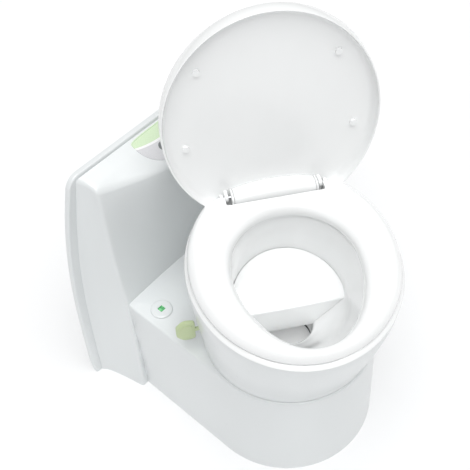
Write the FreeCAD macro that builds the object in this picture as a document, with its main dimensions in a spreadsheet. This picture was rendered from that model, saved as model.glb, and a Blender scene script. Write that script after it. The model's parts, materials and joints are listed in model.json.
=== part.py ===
import FreeCAD, Part
import Sketcher
import math
import os
import re

# Cassette toilet for a caravan: swivelling bowl on a bench, a console against the wall,
# and a slide-out waste tank underneath.
# Frame: millimetres, +Z up from the floor, the bowl's swivel axis is the Z axis,
# the wall is at +Y.  Bowl pieces are drawn facing -Y and then turned by bowl_turn.

SIZES = {
    # rear wall, console and bench
    "wall_y": 346, "flange_thick": 10, "flange_half": 243, "flange_shoulder": 216,
    "flange_shoulder_z": 530, "flange_bend_z": 300, "flange_top": 586, "corner_radius": 46,
    "shell_wall": 4, "floor_half": 181, "bench_half": 171, "bench_top": 249,
    "straight_end_y": 232, "flare_floor": 221, "flare_bench": 224,
    "console_foot_y": 270, "console_brow_y": 262, "console_ridge_y": 303,
    "console_ridge_half": 165, "console_head_half": 190, "console_foot_mid_y": 272,
    "console_brow_z": 545, "console_back_z": 580,
    "window_half": 157, "window_high": 236, "service_half": 140,
    "service_low": 260, "service_high": 540, "wall_screw": 2.6, "wall_screw_x": 233,
    "wall_screw_low": 60, "wall_screw_high": 280,
    "plate_thick": 3, "plate_inset": 10, "floor_screw": 3.2, "floor_screw_x": 160,
    "floor_screw_front": 20, "floor_screw_rear": 200, "duct_half": 120,
    # swivel bearing
    "top_hole": 140, "ring_inner": 118, "ring_outer": 152, "ring_low": 239,
    "table_low": 245.3, "table_step": 250.3, "table_high": 255, "table_core": 138,
    "table_rim": 161.5, "throat_clear": 52, "keeper_inner": 104, "keeper_hub": 112,
    "keeper_outer": 126, "keeper_low": 234, "keeper_gap": 0.5,
    # bowl
    "bowl_turn": 36.1, "rim_top": 478, "rim_thick": 8, "rim_long": 216, "rim_wide": 190,
    "rim_centre": -18, "chest_z": 400, "chest_long": 203, "chest_wide": 183,
    "chest_centre": -15, "waist_z": 320, "waist_long": 184, "waist_wide": 174,
    "waist_centre": -8, "foot_long": 168, "foot_wide": 167, "rear_flat": 135,
    "basin_wall": 3.5, "basin_long": 158, "basin_wide": 121, "basin_centre": -62,
    "belly_z": 400, "belly_long": 142, "belly_wide": 120, "belly_centre": -32,
    "hip_z": 332, "hip_radius": 119, "funnel_low": 258, "throat_radius": 46.5,
    "throat_low": 210, "shelf_front": -15, "shelf_front_z": 320, "shelf_slope": 14.6,
    "shelf_thick": 4, "step_low": 286,
    # lever and its scoop in the bowl side
    "lever_ring_in": 70, "lever_ring_out": 79, "lever_low": 255.5, "lever_thick": 5,
    "lever_z": 300, "lever_knee": 100, "stem_radius": 4, "paddle_in": 181,
    "paddle_out": 209, "paddle_long": 38, "paddle_thick": 9,
    "lever_swing": 26, "scoop_angle": 163, "scoop_reach": 178, "scoop_top": 420,
    "scoop_low": 262, "scoop_wide": 62, "scoop_tip": 6, "scoop_wall": 3, "slot_half": 8,
    # seat, lid and hinge
    "hinge_y": 136, "hinge_z": 497, "seat_low": 481, "seat_top": 505, "seat_long": 214,
    "seat_wide": 189, "seat_rear": 129, "hole_long": 149, "hole_wide": 110,
    "hole_centre": -64, "notch_half": 92, "seat_notch": 97, "lug_radius": 8,
    "pin_radius": 3, "pin_play": 0.05, "seat_lug_in": 93, "lug_thick": 7,
    "lid_lug_in": 84, "lid_low": 508, "lid_high": 526, "lid_skin": 4, "lid_long": 216,
    "lid_wide": 192, "lid_rear": 172, "lid_open": 98.3,
    "bar_half": 80, "bar_front": 104, "bar_round": 23, "bar_top": 517, "pin_inner": 60,
    "pin_outer": 104, "bumper_radius": 6,
    # control panel
    "panel_y": 300, "panel_half": 59, "panel_deep": 33, "panel_thick": 5,
    "panel_tilt": 24.7, "panel_rim": 5, "panel_recess": 2.5, "button_radius": 9,
    "button_x": 12, "button_y": -6, "button_stem": 3, "lamp_x": -34, "lamp_y": 4,
    "lamp_radius": 3, "board_long": 70, "board_wide": 36, "board_thick": 1.6,
    "board_drop": 24,
    # level indicator
    "gauge_x": -135, "gauge_y": 212, "gauge_radius": 22, "gauge_cup": 17,
    "gauge_window": 12, "gauge_high": 253, "gauge_low": 236, "dial_radius": 13,
    # waste tank
    "tank_half": 138, "tank_front": -130, "tank_nose": 162, "tank_step_y": 215, "tank_rear": 325,
    "tank_low": 28, "tank_step_z": 122, "tank_top": 200, "tank_wall": 3.5,
    "inlet_radius": 62, "inlet_ring_top": 203, "seal_top": 206, "seal_outer": 60,
    "blade_radius": 57, "blade_low": 191, "blade_thick": 3, "pivot_x": -95,
    "pivot_y": 45, "pivot_radius": 5, "blade_swing": 63, "cover_low": 206.5,
    "cover_thick": 3, "cover_half": 68, "cover_near": 70, "cover_far": 206,
    "axle_y": -60, "axle_z": 22, "axle_radius": 4, "wheel_radius": 18.5,
    "wheel_in": 142, "wheel_thick": 12, "lug_in": 118, "lug_out": 132,
    "spout_x": 96, "spout_y": 268, "spout_radius": 21, "spout_bore": 18,
    "spout_z": 160, "spout_reach": 150, "cap_radius": 26, "cap_long": 20,
    "vent_x": -100, "vent_y": 268, "vent_radius": 9, "vent_travel": 5,
    "grip_half": 55, "grip_z": 96, "grip_drop": 40, "grip_thick": 8,
    "float_x": -118, "float_y": 190, "float_z": 168, "arm_reach": 96, "arm_drop": 40,
    # water parts
    "union_in": 80, "union_out": 96, "union_low": 216, "union_split": 228,
    "pipe_radius": 5, "pipe_bore": 3.5, "riser_u": 92, "riser_v": -8,
    "nozzle_z": 340, "nozzle_u": 138, "valve_x": 100, "valve_z": 420, "valve_long": 44,
    "valve_wide": 30, "valve_tall": 46, "valve_gap": 34, "inlet_pipe": 8, "inlet_x": 58,
    "inlet_long": 30, "elbow_wide": 20, "union_arm": 73, "union_floor": 222,
}

doc = FreeCAD.newDocument("CassetteToilet")
sheet = doc.addObject("Spreadsheet::Sheet", "Sizes")
for row, (alias, value) in enumerate(SIZES.items(), start=1):
    sheet.set("A%d" % row, alias)
    sheet.set("B%d" % row, str(value))
    sheet.setAlias("B%d" % row, alias)
doc.recompute()

V = FreeCAD.Vector
UP = V(0, 0, 1)
nodes = []


def size(alias):
    """Value of one sheet cell."""
    return float(sheet.get(alias))


def formula(text):
    """Turn 'bench_top - 4' into an expression on the sheet's cells."""
    return re.sub(r"[a-z][a-z_]+", lambda word: "Sizes." + word.group(), str(text))


def bind(thing, **rules):
    """Bind properties to sheet formulas; a double underscore stands for a dot."""
    for name, text in rules.items():
        thing.setExpression(name.replace("__", "."), formula(text))


def place(thing, x=0, y=0, z=0):
    bind(thing, Placement__Base__x=x, Placement__Base__y=y, Placement__Base__z=z)
    return thing


def box(x, y, z, long, wide, tall):
    """Box from its low corner and its three lengths."""
    block = doc.addObject("Part::Box", "Block")
    bind(block, Length=long, Width=wide, Height=tall)
    return place(block, x, y, z)


AXES = {"z": (UP, 0), "x": (V(0, 1, 0), 90), "y": (V(-1, 0, 0), 90)}


def rod(x, y, z, radius, long, along="z"):
    """Cylinder from the middle of its first end, along +x, +y or +z."""
    shaft = doc.addObject("Part::Cylinder", "Rod")
    bind(shaft, Radius=radius, Height=long)
    shaft.Placement = FreeCAD.Placement(V(), FreeCAD.Rotation(*AXES[along]))
    return place(shaft, x, y, z)


def cone(x, y, z, low_radius, high_radius, tall):
    funnel = doc.addObject("Part::Cone", "Funnel")
    bind(funnel, Radius1=low_radius, Radius2=high_radius, Height=tall)
    return place(funnel, x, y, z)


def ellipse(long, wide, centre, z):
    """Ellipse in a level plane, long axis along Y, centred on the Y axis."""
    curve = doc.addObject("Part::Ellipse", "Outline")
    bind(curve, MajorRadius=long, MinorRadius=wide)
    curve.Placement = FreeCAD.Placement(V(), FreeCAD.Rotation(UP, 90))
    return place(curve, 0, centre, z)


def loft(*outlines):
    skin = doc.addObject("Part::Loft", "Loft")
    skin.Sections = list(outlines)
    skin.Solid = True
    return skin


def fuse(*pieces):
    whole = doc.addObject("Part::MultiFuse", "Fuse")
    whole.Shapes = list(pieces)
    return whole


def common(*pieces):
    whole = doc.addObject("Part::MultiCommon", "Common")
    whole.Shapes = list(pieces)
    return whole


def cut(base, *tools):
    for tool in tools:
        result = doc.addObject("Part::Cut", "Cut")
        result.Base = base
        result.Tool = tool
        base = result
    return base


def node(piece, label, placement=None):
    """Name a finished sub-part and keep it for export."""
    piece.Label = label
    if placement is not None:
        piece.Placement = placement.multiply(piece.Placement)
    nodes.append(piece)
    return piece


def bowl_node(piece, label):
    """A piece drawn facing -Y that swivels with the bowl."""
    turn = FreeCAD.Rotation(UP, -size("bowl_turn"))
    return node(piece, label, FreeCAD.Placement(V(), turn))


def body(label):
    part = doc.addObject("PartDesign::Body", "Body")
    part.Label = label
    return part


def sketch(part, role, offset="0"):
    """Empty sketch on one of the body's own origin planes."""
    drawing = part.newObject("Sketcher::SketchObject", "Sketch")
    plane = [item for item in part.Origin.OriginFeatures if item.Role == role][0]
    drawing.AttachmentSupport = [(plane, "")]
    drawing.MapMode = "FlatFace"
    drawing.setExpression("AttachmentOffset.Base.z", formula(offset))
    return drawing


def outline(drawing, points):
    """Closed polyline through formula pairs, every corner tied to the sheet."""
    values = [(read(x), read(y)) for x, y in points]
    first = drawing.GeometryCount
    for index, start in enumerate(values):
        finish = values[(index + 1) % len(values)]
        drawing.addGeometry(Part.LineSegment(V(*start, 0), V(*finish, 0)), False)
    for index in range(len(values)):
        following = first + (index + 1) % len(values)
        drawing.addConstraint(Sketcher.Constraint("Coincident", first + index, 2, following, 1))
    for index, (x, y) in enumerate(points):
        pin_point(drawing, first + index, 1, x, y)


def pin_point(drawing, geometry, end, x, y):
    """Tie one point of a sketch to two formulas."""
    for kind, text in (("DistanceX", x), ("DistanceY", y)):
        value = read(text)
        if abs(value) < 1e-9:
            target = -2 if kind == "DistanceX" else -1
            drawing.addConstraint(Sketcher.Constraint("PointOnObject", geometry, end, target))
            continue
        index = drawing.addConstraint(Sketcher.Constraint(kind, -1, 1, geometry, end, value))
        drawing.setExpression("Constraints[%d]" % index, formula(text))


def read(text):
    """Number that a formula gives now."""
    return float(sheet.evalExpression(formula(text)))


def turned(label, points):
    """Body of revolution about Z from (radius, height) corners."""
    part = body(label + "_turning")
    drawing = sketch(part, "XZ_Plane")
    outline(drawing, points)
    spin = part.newObject("PartDesign::Revolution", "Revolution")
    spin.Profile = drawing
    spin.ReferenceAxis = (drawing, ["V_Axis"])
    spin.Angle = 360
    return part


def padded(label, points, role, offset, depth):
    """Body padded from a polyline on an origin plane."""
    part = body(label)
    drawing = sketch(part, role, offset)
    outline(drawing, points)
    pad = part.newObject("PartDesign::Pad", "Pad")
    pad.Profile = drawing
    pad.setExpression("Length", formula(depth))
    return part


def pocket(part, points, role, offset="0"):
    """Cut a polyline right through a body, both ways from the plane."""
    drawing = sketch(part, role, offset)
    outline(drawing, points)
    hole = part.newObject("PartDesign::Pocket", "Pocket")
    hole.Profile = drawing
    hole.Type = 1
    hole.Midplane = True
    return part


# ---------------------------------------------------------------- fixed housing

def bench_outline(drawing, half, flare, radius, end):
    """Round front, straight sides, then sides that flare out to the wall."""
    corners = [(half, "0"), (half, "straight_end_y"), (flare, end),
               ("-(%s)" % flare, end), ("-(%s)" % half, "straight_end_y"), ("-(%s)" % half, "0")]
    values = [(read(x), read(y)) for x, y in corners]
    for start, finish in zip(values, values[1:]):
        drawing.addGeometry(Part.LineSegment(V(*start, 0), V(*finish, 0)), False)
    circle = Part.Circle(V(), UP, read(radius))
    drawing.addGeometry(Part.ArcOfCircle(circle, math.pi, 2 * math.pi), False)
    for index in range(4):
        drawing.addConstraint(Sketcher.Constraint("Coincident", index, 2, index + 1, 1))
    drawing.addConstraint(Sketcher.Constraint("Coincident", 4, 2, 5, 1))
    drawing.addConstraint(Sketcher.Constraint("Coincident", 5, 2, 0, 1))
    drawing.addConstraint(Sketcher.Constraint("Coincident", 5, 3, -1, 1))
    for index, (x, y) in enumerate(corners[:5]):
        if index:
            pin_point(drawing, index, 1, x, y)
    bound = drawing.addConstraint(Sketcher.Constraint("Radius", 5, read(radius)))
    drawing.setExpression("Constraints[%d]" % bound, formula(radius))
    drawing.addConstraint(Sketcher.Constraint("PointOnObject", 5, 1, -1))


def bench_block(label, low, high, shrink, end):
    part = body(label)
    outlines = []
    for z, half, flare in ((low, "floor_half", "flare_floor"), (high, "bench_half", "flare_bench")):
        drawing = sketch(part, "XY_Plane", z)
        bench_outline(drawing, half + shrink, flare + shrink, half + shrink, end)
        outlines.append(drawing)
    skin = part.newObject("PartDesign::AdditiveLoft", "Loft")
    skin.Profile = outlines[0]
    skin.Sections = outlines[1:]
    skin.Ruled = True
    return part


def bench_shell():
    outer = bench_block("bench_outer", "0", "bench_top", "", "wall_y - flange_thick")
    inner = bench_block("bench_inner", "-1", "bench_top - shell_wall", " - shell_wall", "wall_y")
    hole = rod(0, 0, "bench_top - 20", "top_hole", 40)
    cup = rod("gauge_x", "gauge_y", "bench_top - 20", "gauge_cup + 0.2", 40)
    duct = box("-duct_half", "console_foot_y + 14", "bench_top - 20", "2 * duct_half", 40, 40)
    node(cut(outer, inner, hole, cup, duct), "bench_shell")


def console_block(label, shrink, low, high, back):
    """Console: sections stacked in height with a bowed front edge."""
    part = body(label)
    levels = ((low, "bench_half", "console_foot_y", "console_foot_mid_y", "flare_bench"),
              (high, "console_ridge_half", "console_ridge_y", "console_brow_y",
               "console_head_half"))
    outlines = []
    for z, half, side_y, mid_y, wide in levels:
        drawing = sketch(part, "XY_Plane", z)
        corner = (read(half + shrink[0]), read(side_y + shrink[1]))
        rear = (read(wide + shrink[0]), read(back))
        middle = (0, read(mid_y + shrink[1]))
        arc = Part.Arc(V(-corner[0], corner[1], 0), V(*middle, 0), V(*corner, 0))
        drawing.addGeometry(arc, False)
        for start, finish in ((corner, rear), (rear, (-rear[0], rear[1])),
                              ((-rear[0], rear[1]), (-corner[0], corner[1]))):
            drawing.addGeometry(Part.LineSegment(V(*start, 0), V(*finish, 0)), False)
        for x_text, y_text, line in ((half + shrink[0], side_y + shrink[1], 1),
                                     (wide + shrink[0], back, 2),
                                     ("-(%s%s)" % (wide, shrink[0]), back, 3)):
            pin_point(drawing, line, 1, x_text, y_text)
        outlines.append(drawing)
    skin = part.newObject("PartDesign::AdditiveLoft", "Loft")
    skin.Profile = outlines[0]
    skin.Sections = outlines[1:]
    skin.Ruled = True
    return part


def console_shell():
    outer = console_block("console_outer", ("", ""), "bench_top", "flange_top",
                          "wall_y - flange_thick")
    inner = console_block("console_inner", (" - shell_wall", " + shell_wall"),
                          "bench_top - 1", "flange_top", "wall_y")
    lid_cut = pitched_cutter("console_slope", "0")
    inner_cut = pitched_cutter("console_slope_inner", "-shell_wall")
    recess = panel_disc("panel_half + 0.3", "panel_deep + 0.3", "-30", "60")
    node(cut(outer, cut(inner, inner_cut), lid_cut, recess), "console_shell")


def pitched_cutter(label, lift):
    """Everything above the console's sloping top."""
    rise = "(console_back_z - console_brow_z) / (wall_y - flange_thick - console_brow_y)"
    front = "console_brow_z + (%s) - 62 * %s" % (lift, rise)
    back = "console_back_z + (%s) + 60 * %s" % (lift, rise)
    points = [("console_brow_y - 62", front), ("wall_y - flange_thick + 60", back),
              ("wall_y - flange_thick + 60", "700"), ("console_brow_y - 62", "700")]
    return padded(label, points, "YZ_Plane", "-300", "600")


def panel_placement(lift):
    """Frame of the control panel: on the sloping top, lifted along its normal."""
    slope = math.radians(size("panel_tilt"))
    base_z = size("console_brow_z") + (size("panel_y") - size("console_brow_y")) * math.tan(slope)
    base = V(0, size("panel_y") - lift * math.sin(slope), base_z + lift * math.cos(slope))
    return FreeCAD.Placement(base, FreeCAD.Rotation(V(1, 0, 0), size("panel_tilt")))


def panel_disc(long, wide, low, tall):
    """Elliptical disc square to the console's sloping top."""
    curve = doc.addObject("Part::Ellipse", "PanelOutline")
    bind(curve, MajorRadius=long, MinorRadius=wide)
    disc = doc.addObject("Part::Extrusion", "PanelDisc")
    disc.Base = curve
    disc.Dir = UP
    disc.Solid = True
    bind(disc, LengthFwd=tall)
    disc.Placement = panel_placement(read(low))
    return disc


def on_panel(piece, across, forward, low):
    """Stand a piece square to the panel at a place given across and up the slope."""
    offset = FreeCAD.Placement(V(read(across), read(forward), read(low)), FreeCAD.Rotation())
    piece.Placement = panel_placement(0).multiply(offset)
    return piece


def panel_rod(across, forward, low, radius, tall):
    shaft = doc.addObject("Part::Cylinder", "PanelRod")
    bind(shaft, Radius=radius, Height=tall)
    return on_panel(shaft, across, forward, low)


BUTTONS = (("flush_button", "button_x"), ("flush_small_button", "-button_x"))


def panel_holes():
    """Holes through the panel for the two flush keys and the lamp."""
    holes = [panel_rod(x, "button_y", "-20", "button_radius + 0.4", 40) for _, x in BUTTONS]
    return holes + [panel_rod("lamp_x", "lamp_y", "-20", "lamp_radius + 0.1", 40)]


def control_panel():
    dish = cut(panel_disc("panel_half", "panel_deep", "-panel_thick", "panel_thick + 0.5"),
               panel_disc("panel_half - panel_rim", "panel_deep - panel_rim", "-panel_recess", 10))
    node(cut(dish, *panel_holes()), "control_panel")
    overlay = panel_disc("panel_half - panel_rim - 0.5", "panel_deep - panel_rim - 0.5",
                         "-panel_recess", "0.8")
    node(cut(overlay, *panel_holes()), "panel_overlay")
    node(panel_rod("lamp_x", "lamp_y", "-4.5", "lamp_radius", 4), "level_lamp")
    for label, x in BUTTONS:
        cap = panel_rod(x, "button_y", "-8", "button_radius", 8.5)
        stem = panel_rod(x, "button_y", "-14", "button_stem", 6)
        node(fuse(cap, stem), label)
    board = doc.addObject("Part::Box", "Board")
    bind(board, Length="board_long", Width="board_wide", Height="board_thick")
    node(on_panel(board, "-board_long / 2", "-board_wide / 2", "-board_drop"), "control_board")


def rectangle(half, low, high):
    return [("-" + half, low), (half, low), (half, high), ("-" + half, high)]


def wall_flange():
    side = [("flange_half", "0"), ("flange_half", "flange_bend_z"),
            ("flange_shoulder", "flange_shoulder_z"),
            ("flange_shoulder - corner_radius / 2", "flange_top - corner_radius / 4"),
            ("flange_shoulder - corner_radius", "flange_top")]
    points = side + [("-(%s)" % x, y) for x, y in reversed(side)]
    plate = padded("flange_plate", points, "XZ_Plane", "-wall_y", "flange_thick")
    pocket(plate, rectangle("window_half", "plate_thick", "window_high"), "XZ_Plane")
    pocket(plate, rectangle("service_half", "service_low", "service_high"), "XZ_Plane")
    screws = [rod(x, "wall_y - flange_thick - 5", z, "wall_screw", "flange_thick + 10", "y")
              for x in ("-wall_screw_x", "wall_screw_x")
              for z in ("wall_screw_low", "wall_screw_high")]
    node(cut(plate, *screws), "wall_flange")


def base_plate():
    inner = bench_block("plate_block", "0", "plate_thick", " - plate_inset",
                        "wall_y - flange_thick")
    holes = [rod(x, y, -5, "floor_screw", "plate_thick + 10")
             for x in ("-floor_screw_x", "floor_screw_x")
             for y in ("floor_screw_front", "floor_screw_rear")]
    node(cut(inner, *holes), "base_plate")


def gauge():
    disc = rod("gauge_x", "gauge_y", "bench_top", "gauge_radius", "gauge_high - bench_top")
    cup = rod("gauge_x", "gauge_y", "gauge_low", "gauge_cup", "bench_top - gauge_low")
    hollow = rod("gauge_x", "gauge_y", "gauge_low + 2", "gauge_cup - 2",
                 "bench_top - gauge_low - 3")
    opening = box("gauge_x - gauge_window / 2", "gauge_y - gauge_window / 2", "bench_top - 3",
                  "gauge_window", "gauge_window", 10)
    bore = rod("gauge_x", "gauge_y", "gauge_low - 2", "2.05", 8)
    node(cut(fuse(disc, cup), hollow, opening, bore), "gauge_housing")
    node(box("gauge_x - gauge_window / 2", "gauge_y - gauge_window / 2", "bench_top",
             "gauge_window", "gauge_window", 3), "gauge_window")
    dial = rod("gauge_x", "gauge_y", "gauge_low + 6", "dial_radius", 2)
    node(fuse(dial, rod("gauge_x", "gauge_y", "gauge_low - 2", 2, 8)), "gauge_dial")


# ---------------------------------------------------------------- swivel bearing

def bearing():
    node(turned("bearing_ring", [("ring_inner", "ring_low"), ("ring_outer", "ring_low"),
                                 ("ring_outer", "bench_top - shell_wall"),
                                 ("ring_inner", "bench_top - shell_wall")]), "bearing_ring")
    table = turned("table", [("throat_clear", "table_low"), ("table_core", "table_low"),
                                 ("table_core", "table_step"), ("table_rim", "table_step"),
                                 ("table_rim", "table_high"), ("throat_clear", "table_high")])
    hole = rod("riser_u", "riser_v", "table_low - 5", "pipe_radius + 0.2", 20)
    back = box(-200, "rear_flat - shell_wall - 0.5", "table_step", 400, 100, 20)
    bowl_node(cut(table, hole, back), "turntable")
    keeper = turned("keeper_ring", [("keeper_inner", "keeper_low"), ("keeper_outer", "keeper_low"),
                                    ("keeper_outer", "ring_low - keeper_gap"),
                                    ("keeper_hub", "ring_low - keeper_gap"),
                                    ("keeper_hub", "table_low"), ("keeper_inner", "table_low")])
    bowl_node(keeper, "keeper_ring")
    screws = []
    for step in range(6):
        angle = math.radians(30 + 60 * step)
        x = 108 * math.cos(angle)
        y = 108 * math.sin(angle)
        screws.append(rod(x, y, "keeper_low - 2.5", 3.5, 2.5))
    bowl_node(fuse(*screws), "keeper_screws")


# ---------------------------------------------------------------- bowl

def bowl_skin(inset):
    """Outside of the bowl, drawn in by an inset, with its flat back."""
    rows = (("foot_long", "foot_wide", "0", "table_step"),
            ("waist_long", "waist_wide", "waist_centre", "waist_z"),
            ("chest_long", "chest_wide", "chest_centre", "chest_z"),
            ("rim_long", "rim_wide", "rim_centre", "rim_top - rim_thick"))
    curves = [ellipse("%s - %s" % (long, inset), "%s - %s" % (wide, inset), centre, z)
              for long, wide, centre, z in rows]
    return common(loft(*curves), box(-300, -400, 0, 600, "400 + rear_flat - %s" % inset, 600))


def scoop(extra, low):
    """Cone that hollows the bowl's side around the lever."""
    angle = math.radians(size("scoop_angle"))
    x = size("scoop_reach") * math.cos(angle)
    y = size("scoop_reach") * math.sin(angle)
    return cone(x, y, low, "scoop_wide + %s" % extra, "scoop_tip + %s" % extra,
                "scoop_top - (%s)" % low)


def lever_slot():
    """Sector slot that the lever's stem sweeps through."""
    disc = rod(0, 0, "lever_z - slot_half", 215, "2 * slot_half")
    core = rod(0, 0, "lever_z - slot_half - 1", 100, "2 * slot_half + 2")
    disc.Angle = size("lever_swing") + 6
    start = 180 - size("lever_swing") - 3
    disc.Placement = FreeCAD.Placement(disc.Placement.Base, FreeCAD.Rotation(UP, start))
    place(disc, 0, 0, "lever_z - slot_half")
    return cut(disc, core)


def bowl_shell():
    wall = cut(bowl_skin("0"), bowl_skin("shell_wall"))
    bowl_node(cut(wall, scoop("0", "scoop_low"), lever_slot()), "bowl_shell")
    liner = cut(scoop("scoop_wall", "scoop_low - scoop_wall"), scoop("0", "scoop_low"))
    inside = common(liner, bowl_skin("shell_wall"))
    bowl_node(cut(inside, lever_slot()), "lever_scoop")


def basin_core(inset):
    """Space inside the upper basin, grown by minus the inset, from hip to rim."""
    top = ellipse("basin_long - %s" % inset, "basin_wide - %s" % inset, "basin_centre", "rim_top")
    mid = ellipse("belly_long - %s" % inset, "belly_wide - %s" % inset, "belly_centre", "belly_z")
    hip = ellipse("hip_radius - %s" % inset, "hip_radius - %s" % inset, "0", "hip_z")
    return loft(hip, mid, top)


def funnel_core(inset):
    return cone(0, 0, "funnel_low", "throat_radius - %s" % inset, "hip_radius - %s" % inset,
                "hip_z - funnel_low")


def bowl_rim():
    flange = common(loft(ellipse("rim_long", "rim_wide", "rim_centre", "rim_top - rim_thick"),
                         ellipse("rim_long", "rim_wide", "rim_centre", "rim_top")),
                    box(-300, -400, 0, 600, "400 + rear_flat", 600))
    bowl_node(cut(flange, basin_core("-basin_wall")), "bowl_rim")


def bowl_liner():
    nozzle_hole = rod("0", "riser_v", "nozzle_z", "pipe_radius + 0.2", "nozzle_u", "x")
    bowl_node(cut(basin_core("-basin_wall"), basin_core("0"), nozzle_hole), "bowl_liner")
    tube = rod(0, 0, "throat_low", "throat_radius + basin_wall", "funnel_low - throat_low")
    bore = rod(0, 0, "throat_low - 5", "throat_radius", "funnel_low - throat_low + 5.5")
    bowl_node(cut(fuse(funnel_core("-basin_wall"), tube), funnel_core("0"), bore), "bowl_funnel")


def bowl_shelf():
    slab = box(-150, 0, "-shelf_thick", 300, 200, "shelf_thick")
    slab.Placement = FreeCAD.Placement(V(), FreeCAD.Rotation(V(1, 0, 0), size("shelf_slope")))
    place(slab, -150, "shelf_front", "shelf_front_z - shelf_thick")
    step = box(-150, "shelf_front", "step_low", 300, "shelf_thick", "shelf_front_z - step_low - 2")
    inside = fuse(basin_core("0"), funnel_core("0"))
    bowl_node(common(fuse(slab, step), inside), "bowl_shelf")


def flush_pipe():
    """Rotary water joint and the pipe that climbs beside the basin to the nozzle."""
    ring = turned("stator", [("union_in", "union_low"), ("union_out", "union_low"),
                                   ("union_out", "union_split - 0.3"),
                                   ("union_in", "union_split - 0.3")])
    arms = [box("union_out - 2", -6, "union_low", "union_arm", 12, 4),
            box("2 - union_out - union_arm", -6, "union_low", "union_arm", 12, 4)]
    node(fuse(ring, *arms), "union_stator")
    rotor = turned("union_rotor", [("union_in + 2", "union_split"), ("union_out", "union_split"),
                                   ("union_out", "keeper_low - 0.5"),
                                   ("union_in + 2", "keeper_low - 0.5")])
    bowl_node(rotor, "union_rotor")
    points = [V(size("riser_u"), size("riser_v"), size("keeper_low") - 0.5),
              V(size("riser_u"), size("riser_v"), 272),
              V(size("nozzle_u"), size("riser_v"), 302),
              V(size("nozzle_u"), size("riser_v"), size("nozzle_z")),
              V(size("hip_radius") - 8, size("riser_v"), size("nozzle_z"))]
    bowl_node(tube_along(points, size("pipe_radius"), size("pipe_bore"), 12), "feed_pipe")


def tube_along(points, radius, bore, bend):
    """Hollow tube along straight runs with rounded bends."""
    wire = rounded_path(points, bend)
    start = (points[1] - points[0]).normalize()
    shapes = []
    for ring in (radius, bore):
        circle = Part.Wire(Part.makeCircle(ring, points[0], start))
        shapes.append(wire.makePipeShell([circle], True, False))
    tube = doc.addObject("Part::Feature", "Tube")
    tube.Shape = shapes[0].cut(shapes[1])
    return tube


def rounded_path(points, bend):
    edges = []
    last = points[0]
    for before, corner, after in zip(points, points[1:], points[2:]):
        inward = (before - corner).normalize()
        outward = (after - corner).normalize()
        half = inward.getAngle(outward) / 2
        trim = bend / math.tan(half)
        middle = (inward + outward).normalize()
        centre = corner + middle * (bend / math.sin(half))
        first = corner + inward * trim
        second = corner + outward * trim
        through = centre - middle * bend
        edges.append(Part.LineSegment(last, first).toShape())
        edges.append(Part.Arc(first, through, second).toShape())
        last = second
    edges.append(Part.LineSegment(last, points[-1]).toShape())
    return Part.Wire(edges)


# ---------------------------------------------------------------- lever

def lever():
    ring = cut(rod(0, 0, "lever_low", "lever_ring_out", "lever_thick"),
               rod(0, 0, "lever_low - 1", "lever_ring_in", "lever_thick + 2"))
    arm = box("-lever_knee - 6", -6, "lever_low", "lever_knee + 6 - lever_ring_out + 3", 12,
              "lever_thick")
    riser = box("-lever_knee - 6", -6, "lever_low", 8, 12, "lever_z - lever_low + stem_radius")
    stem = rod("-paddle_in - 3", 0, "lever_z", "stem_radius", "paddle_in + 3 - lever_knee", "x")
    bowl_node(fuse(ring, arm, riser, stem), "lever_arm")
    plate = box("-paddle_out", "-paddle_thick / 2", "lever_z - paddle_long / 2",
                "paddle_out - paddle_in", "paddle_thick", "paddle_long")
    bowl_node(cut(plate, rod("-paddle_in - 3", 0, "lever_z", "stem_radius", 20, "x")),
              "lever_paddle")


# ---------------------------------------------------------------- seat, lid, hinge

def level_slab(long, wide, centre, low, high):
    return loft(ellipse(long, wide, centre, low), ellipse(long, wide, centre, high))


def mirrored(build):
    """The same piece on both sides of the bowl's middle plane."""
    return [build(1), build(-1)]


def across(inner, long, y, z, radius, side):
    """Cylinder along X, starting at an inner distance on one side."""
    start = inner if side > 0 else "-(%s) - (%s)" % (inner, long)
    return rod(start, y, z, radius, long, "x")


def side_box(inner, long, y, z, wide, tall, side):
    start = inner if side > 0 else "-(%s) - (%s)" % (inner, long)
    return box(start, y, z, long, wide, tall)


def seat():
    ring = common(level_slab("seat_long", "seat_wide", "rim_centre", "seat_low", "seat_top"),
                  box(-300, -400, 0, 600, "400 + seat_rear", 600))
    hole = level_slab("hole_long", "hole_wide", "hole_centre", "seat_low - 5", "seat_top + 5")
    notch = box("-notch_half", "seat_notch", "seat_low - 5", "2 * notch_half", 90, 40)
    lugs = []
    for side in (1, -1):
        lugs.append(across("seat_lug_in", "lug_thick", "hinge_y", "hinge_z", "lug_radius", side))
        lugs.append(side_box("seat_lug_in", "lug_thick", "seat_rear - 8", "hinge_z - lug_radius",
                             "hinge_y - seat_rear + 8", "2 * lug_radius", side))
    bores = mirrored(lambda side: across("seat_lug_in - 2", "lug_thick + 4", "hinge_y", "hinge_z",
                                         "pin_radius + pin_play", side))
    bowl_node(cut(fuse(cut(ring, hole, notch), *lugs), *bores), "seat_ring")
    pads = []
    for x, y in ((150, -60), (-150, -60), (120, 70), (-120, 70)):
        pads.append(rod(x, y, "rim_top + 0.3", "bumper_radius", "seat_low - rim_top - 0.3"))
    bowl_node(fuse(*pads), "seat_bumpers")


def open_lid():
    """Turn of the lid from closed to open about the hinge, then of the whole bowl."""
    hinge = V(0, size("hinge_y"), size("hinge_z"))
    swing = FreeCAD.Rotation(V(1, 0, 0), -size("lid_open"))
    opened = FreeCAD.Placement(hinge - swing.multVec(hinge), swing)
    return FreeCAD.Placement(V(), FreeCAD.Rotation(UP, -size("bowl_turn"))).multiply(opened)


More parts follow.
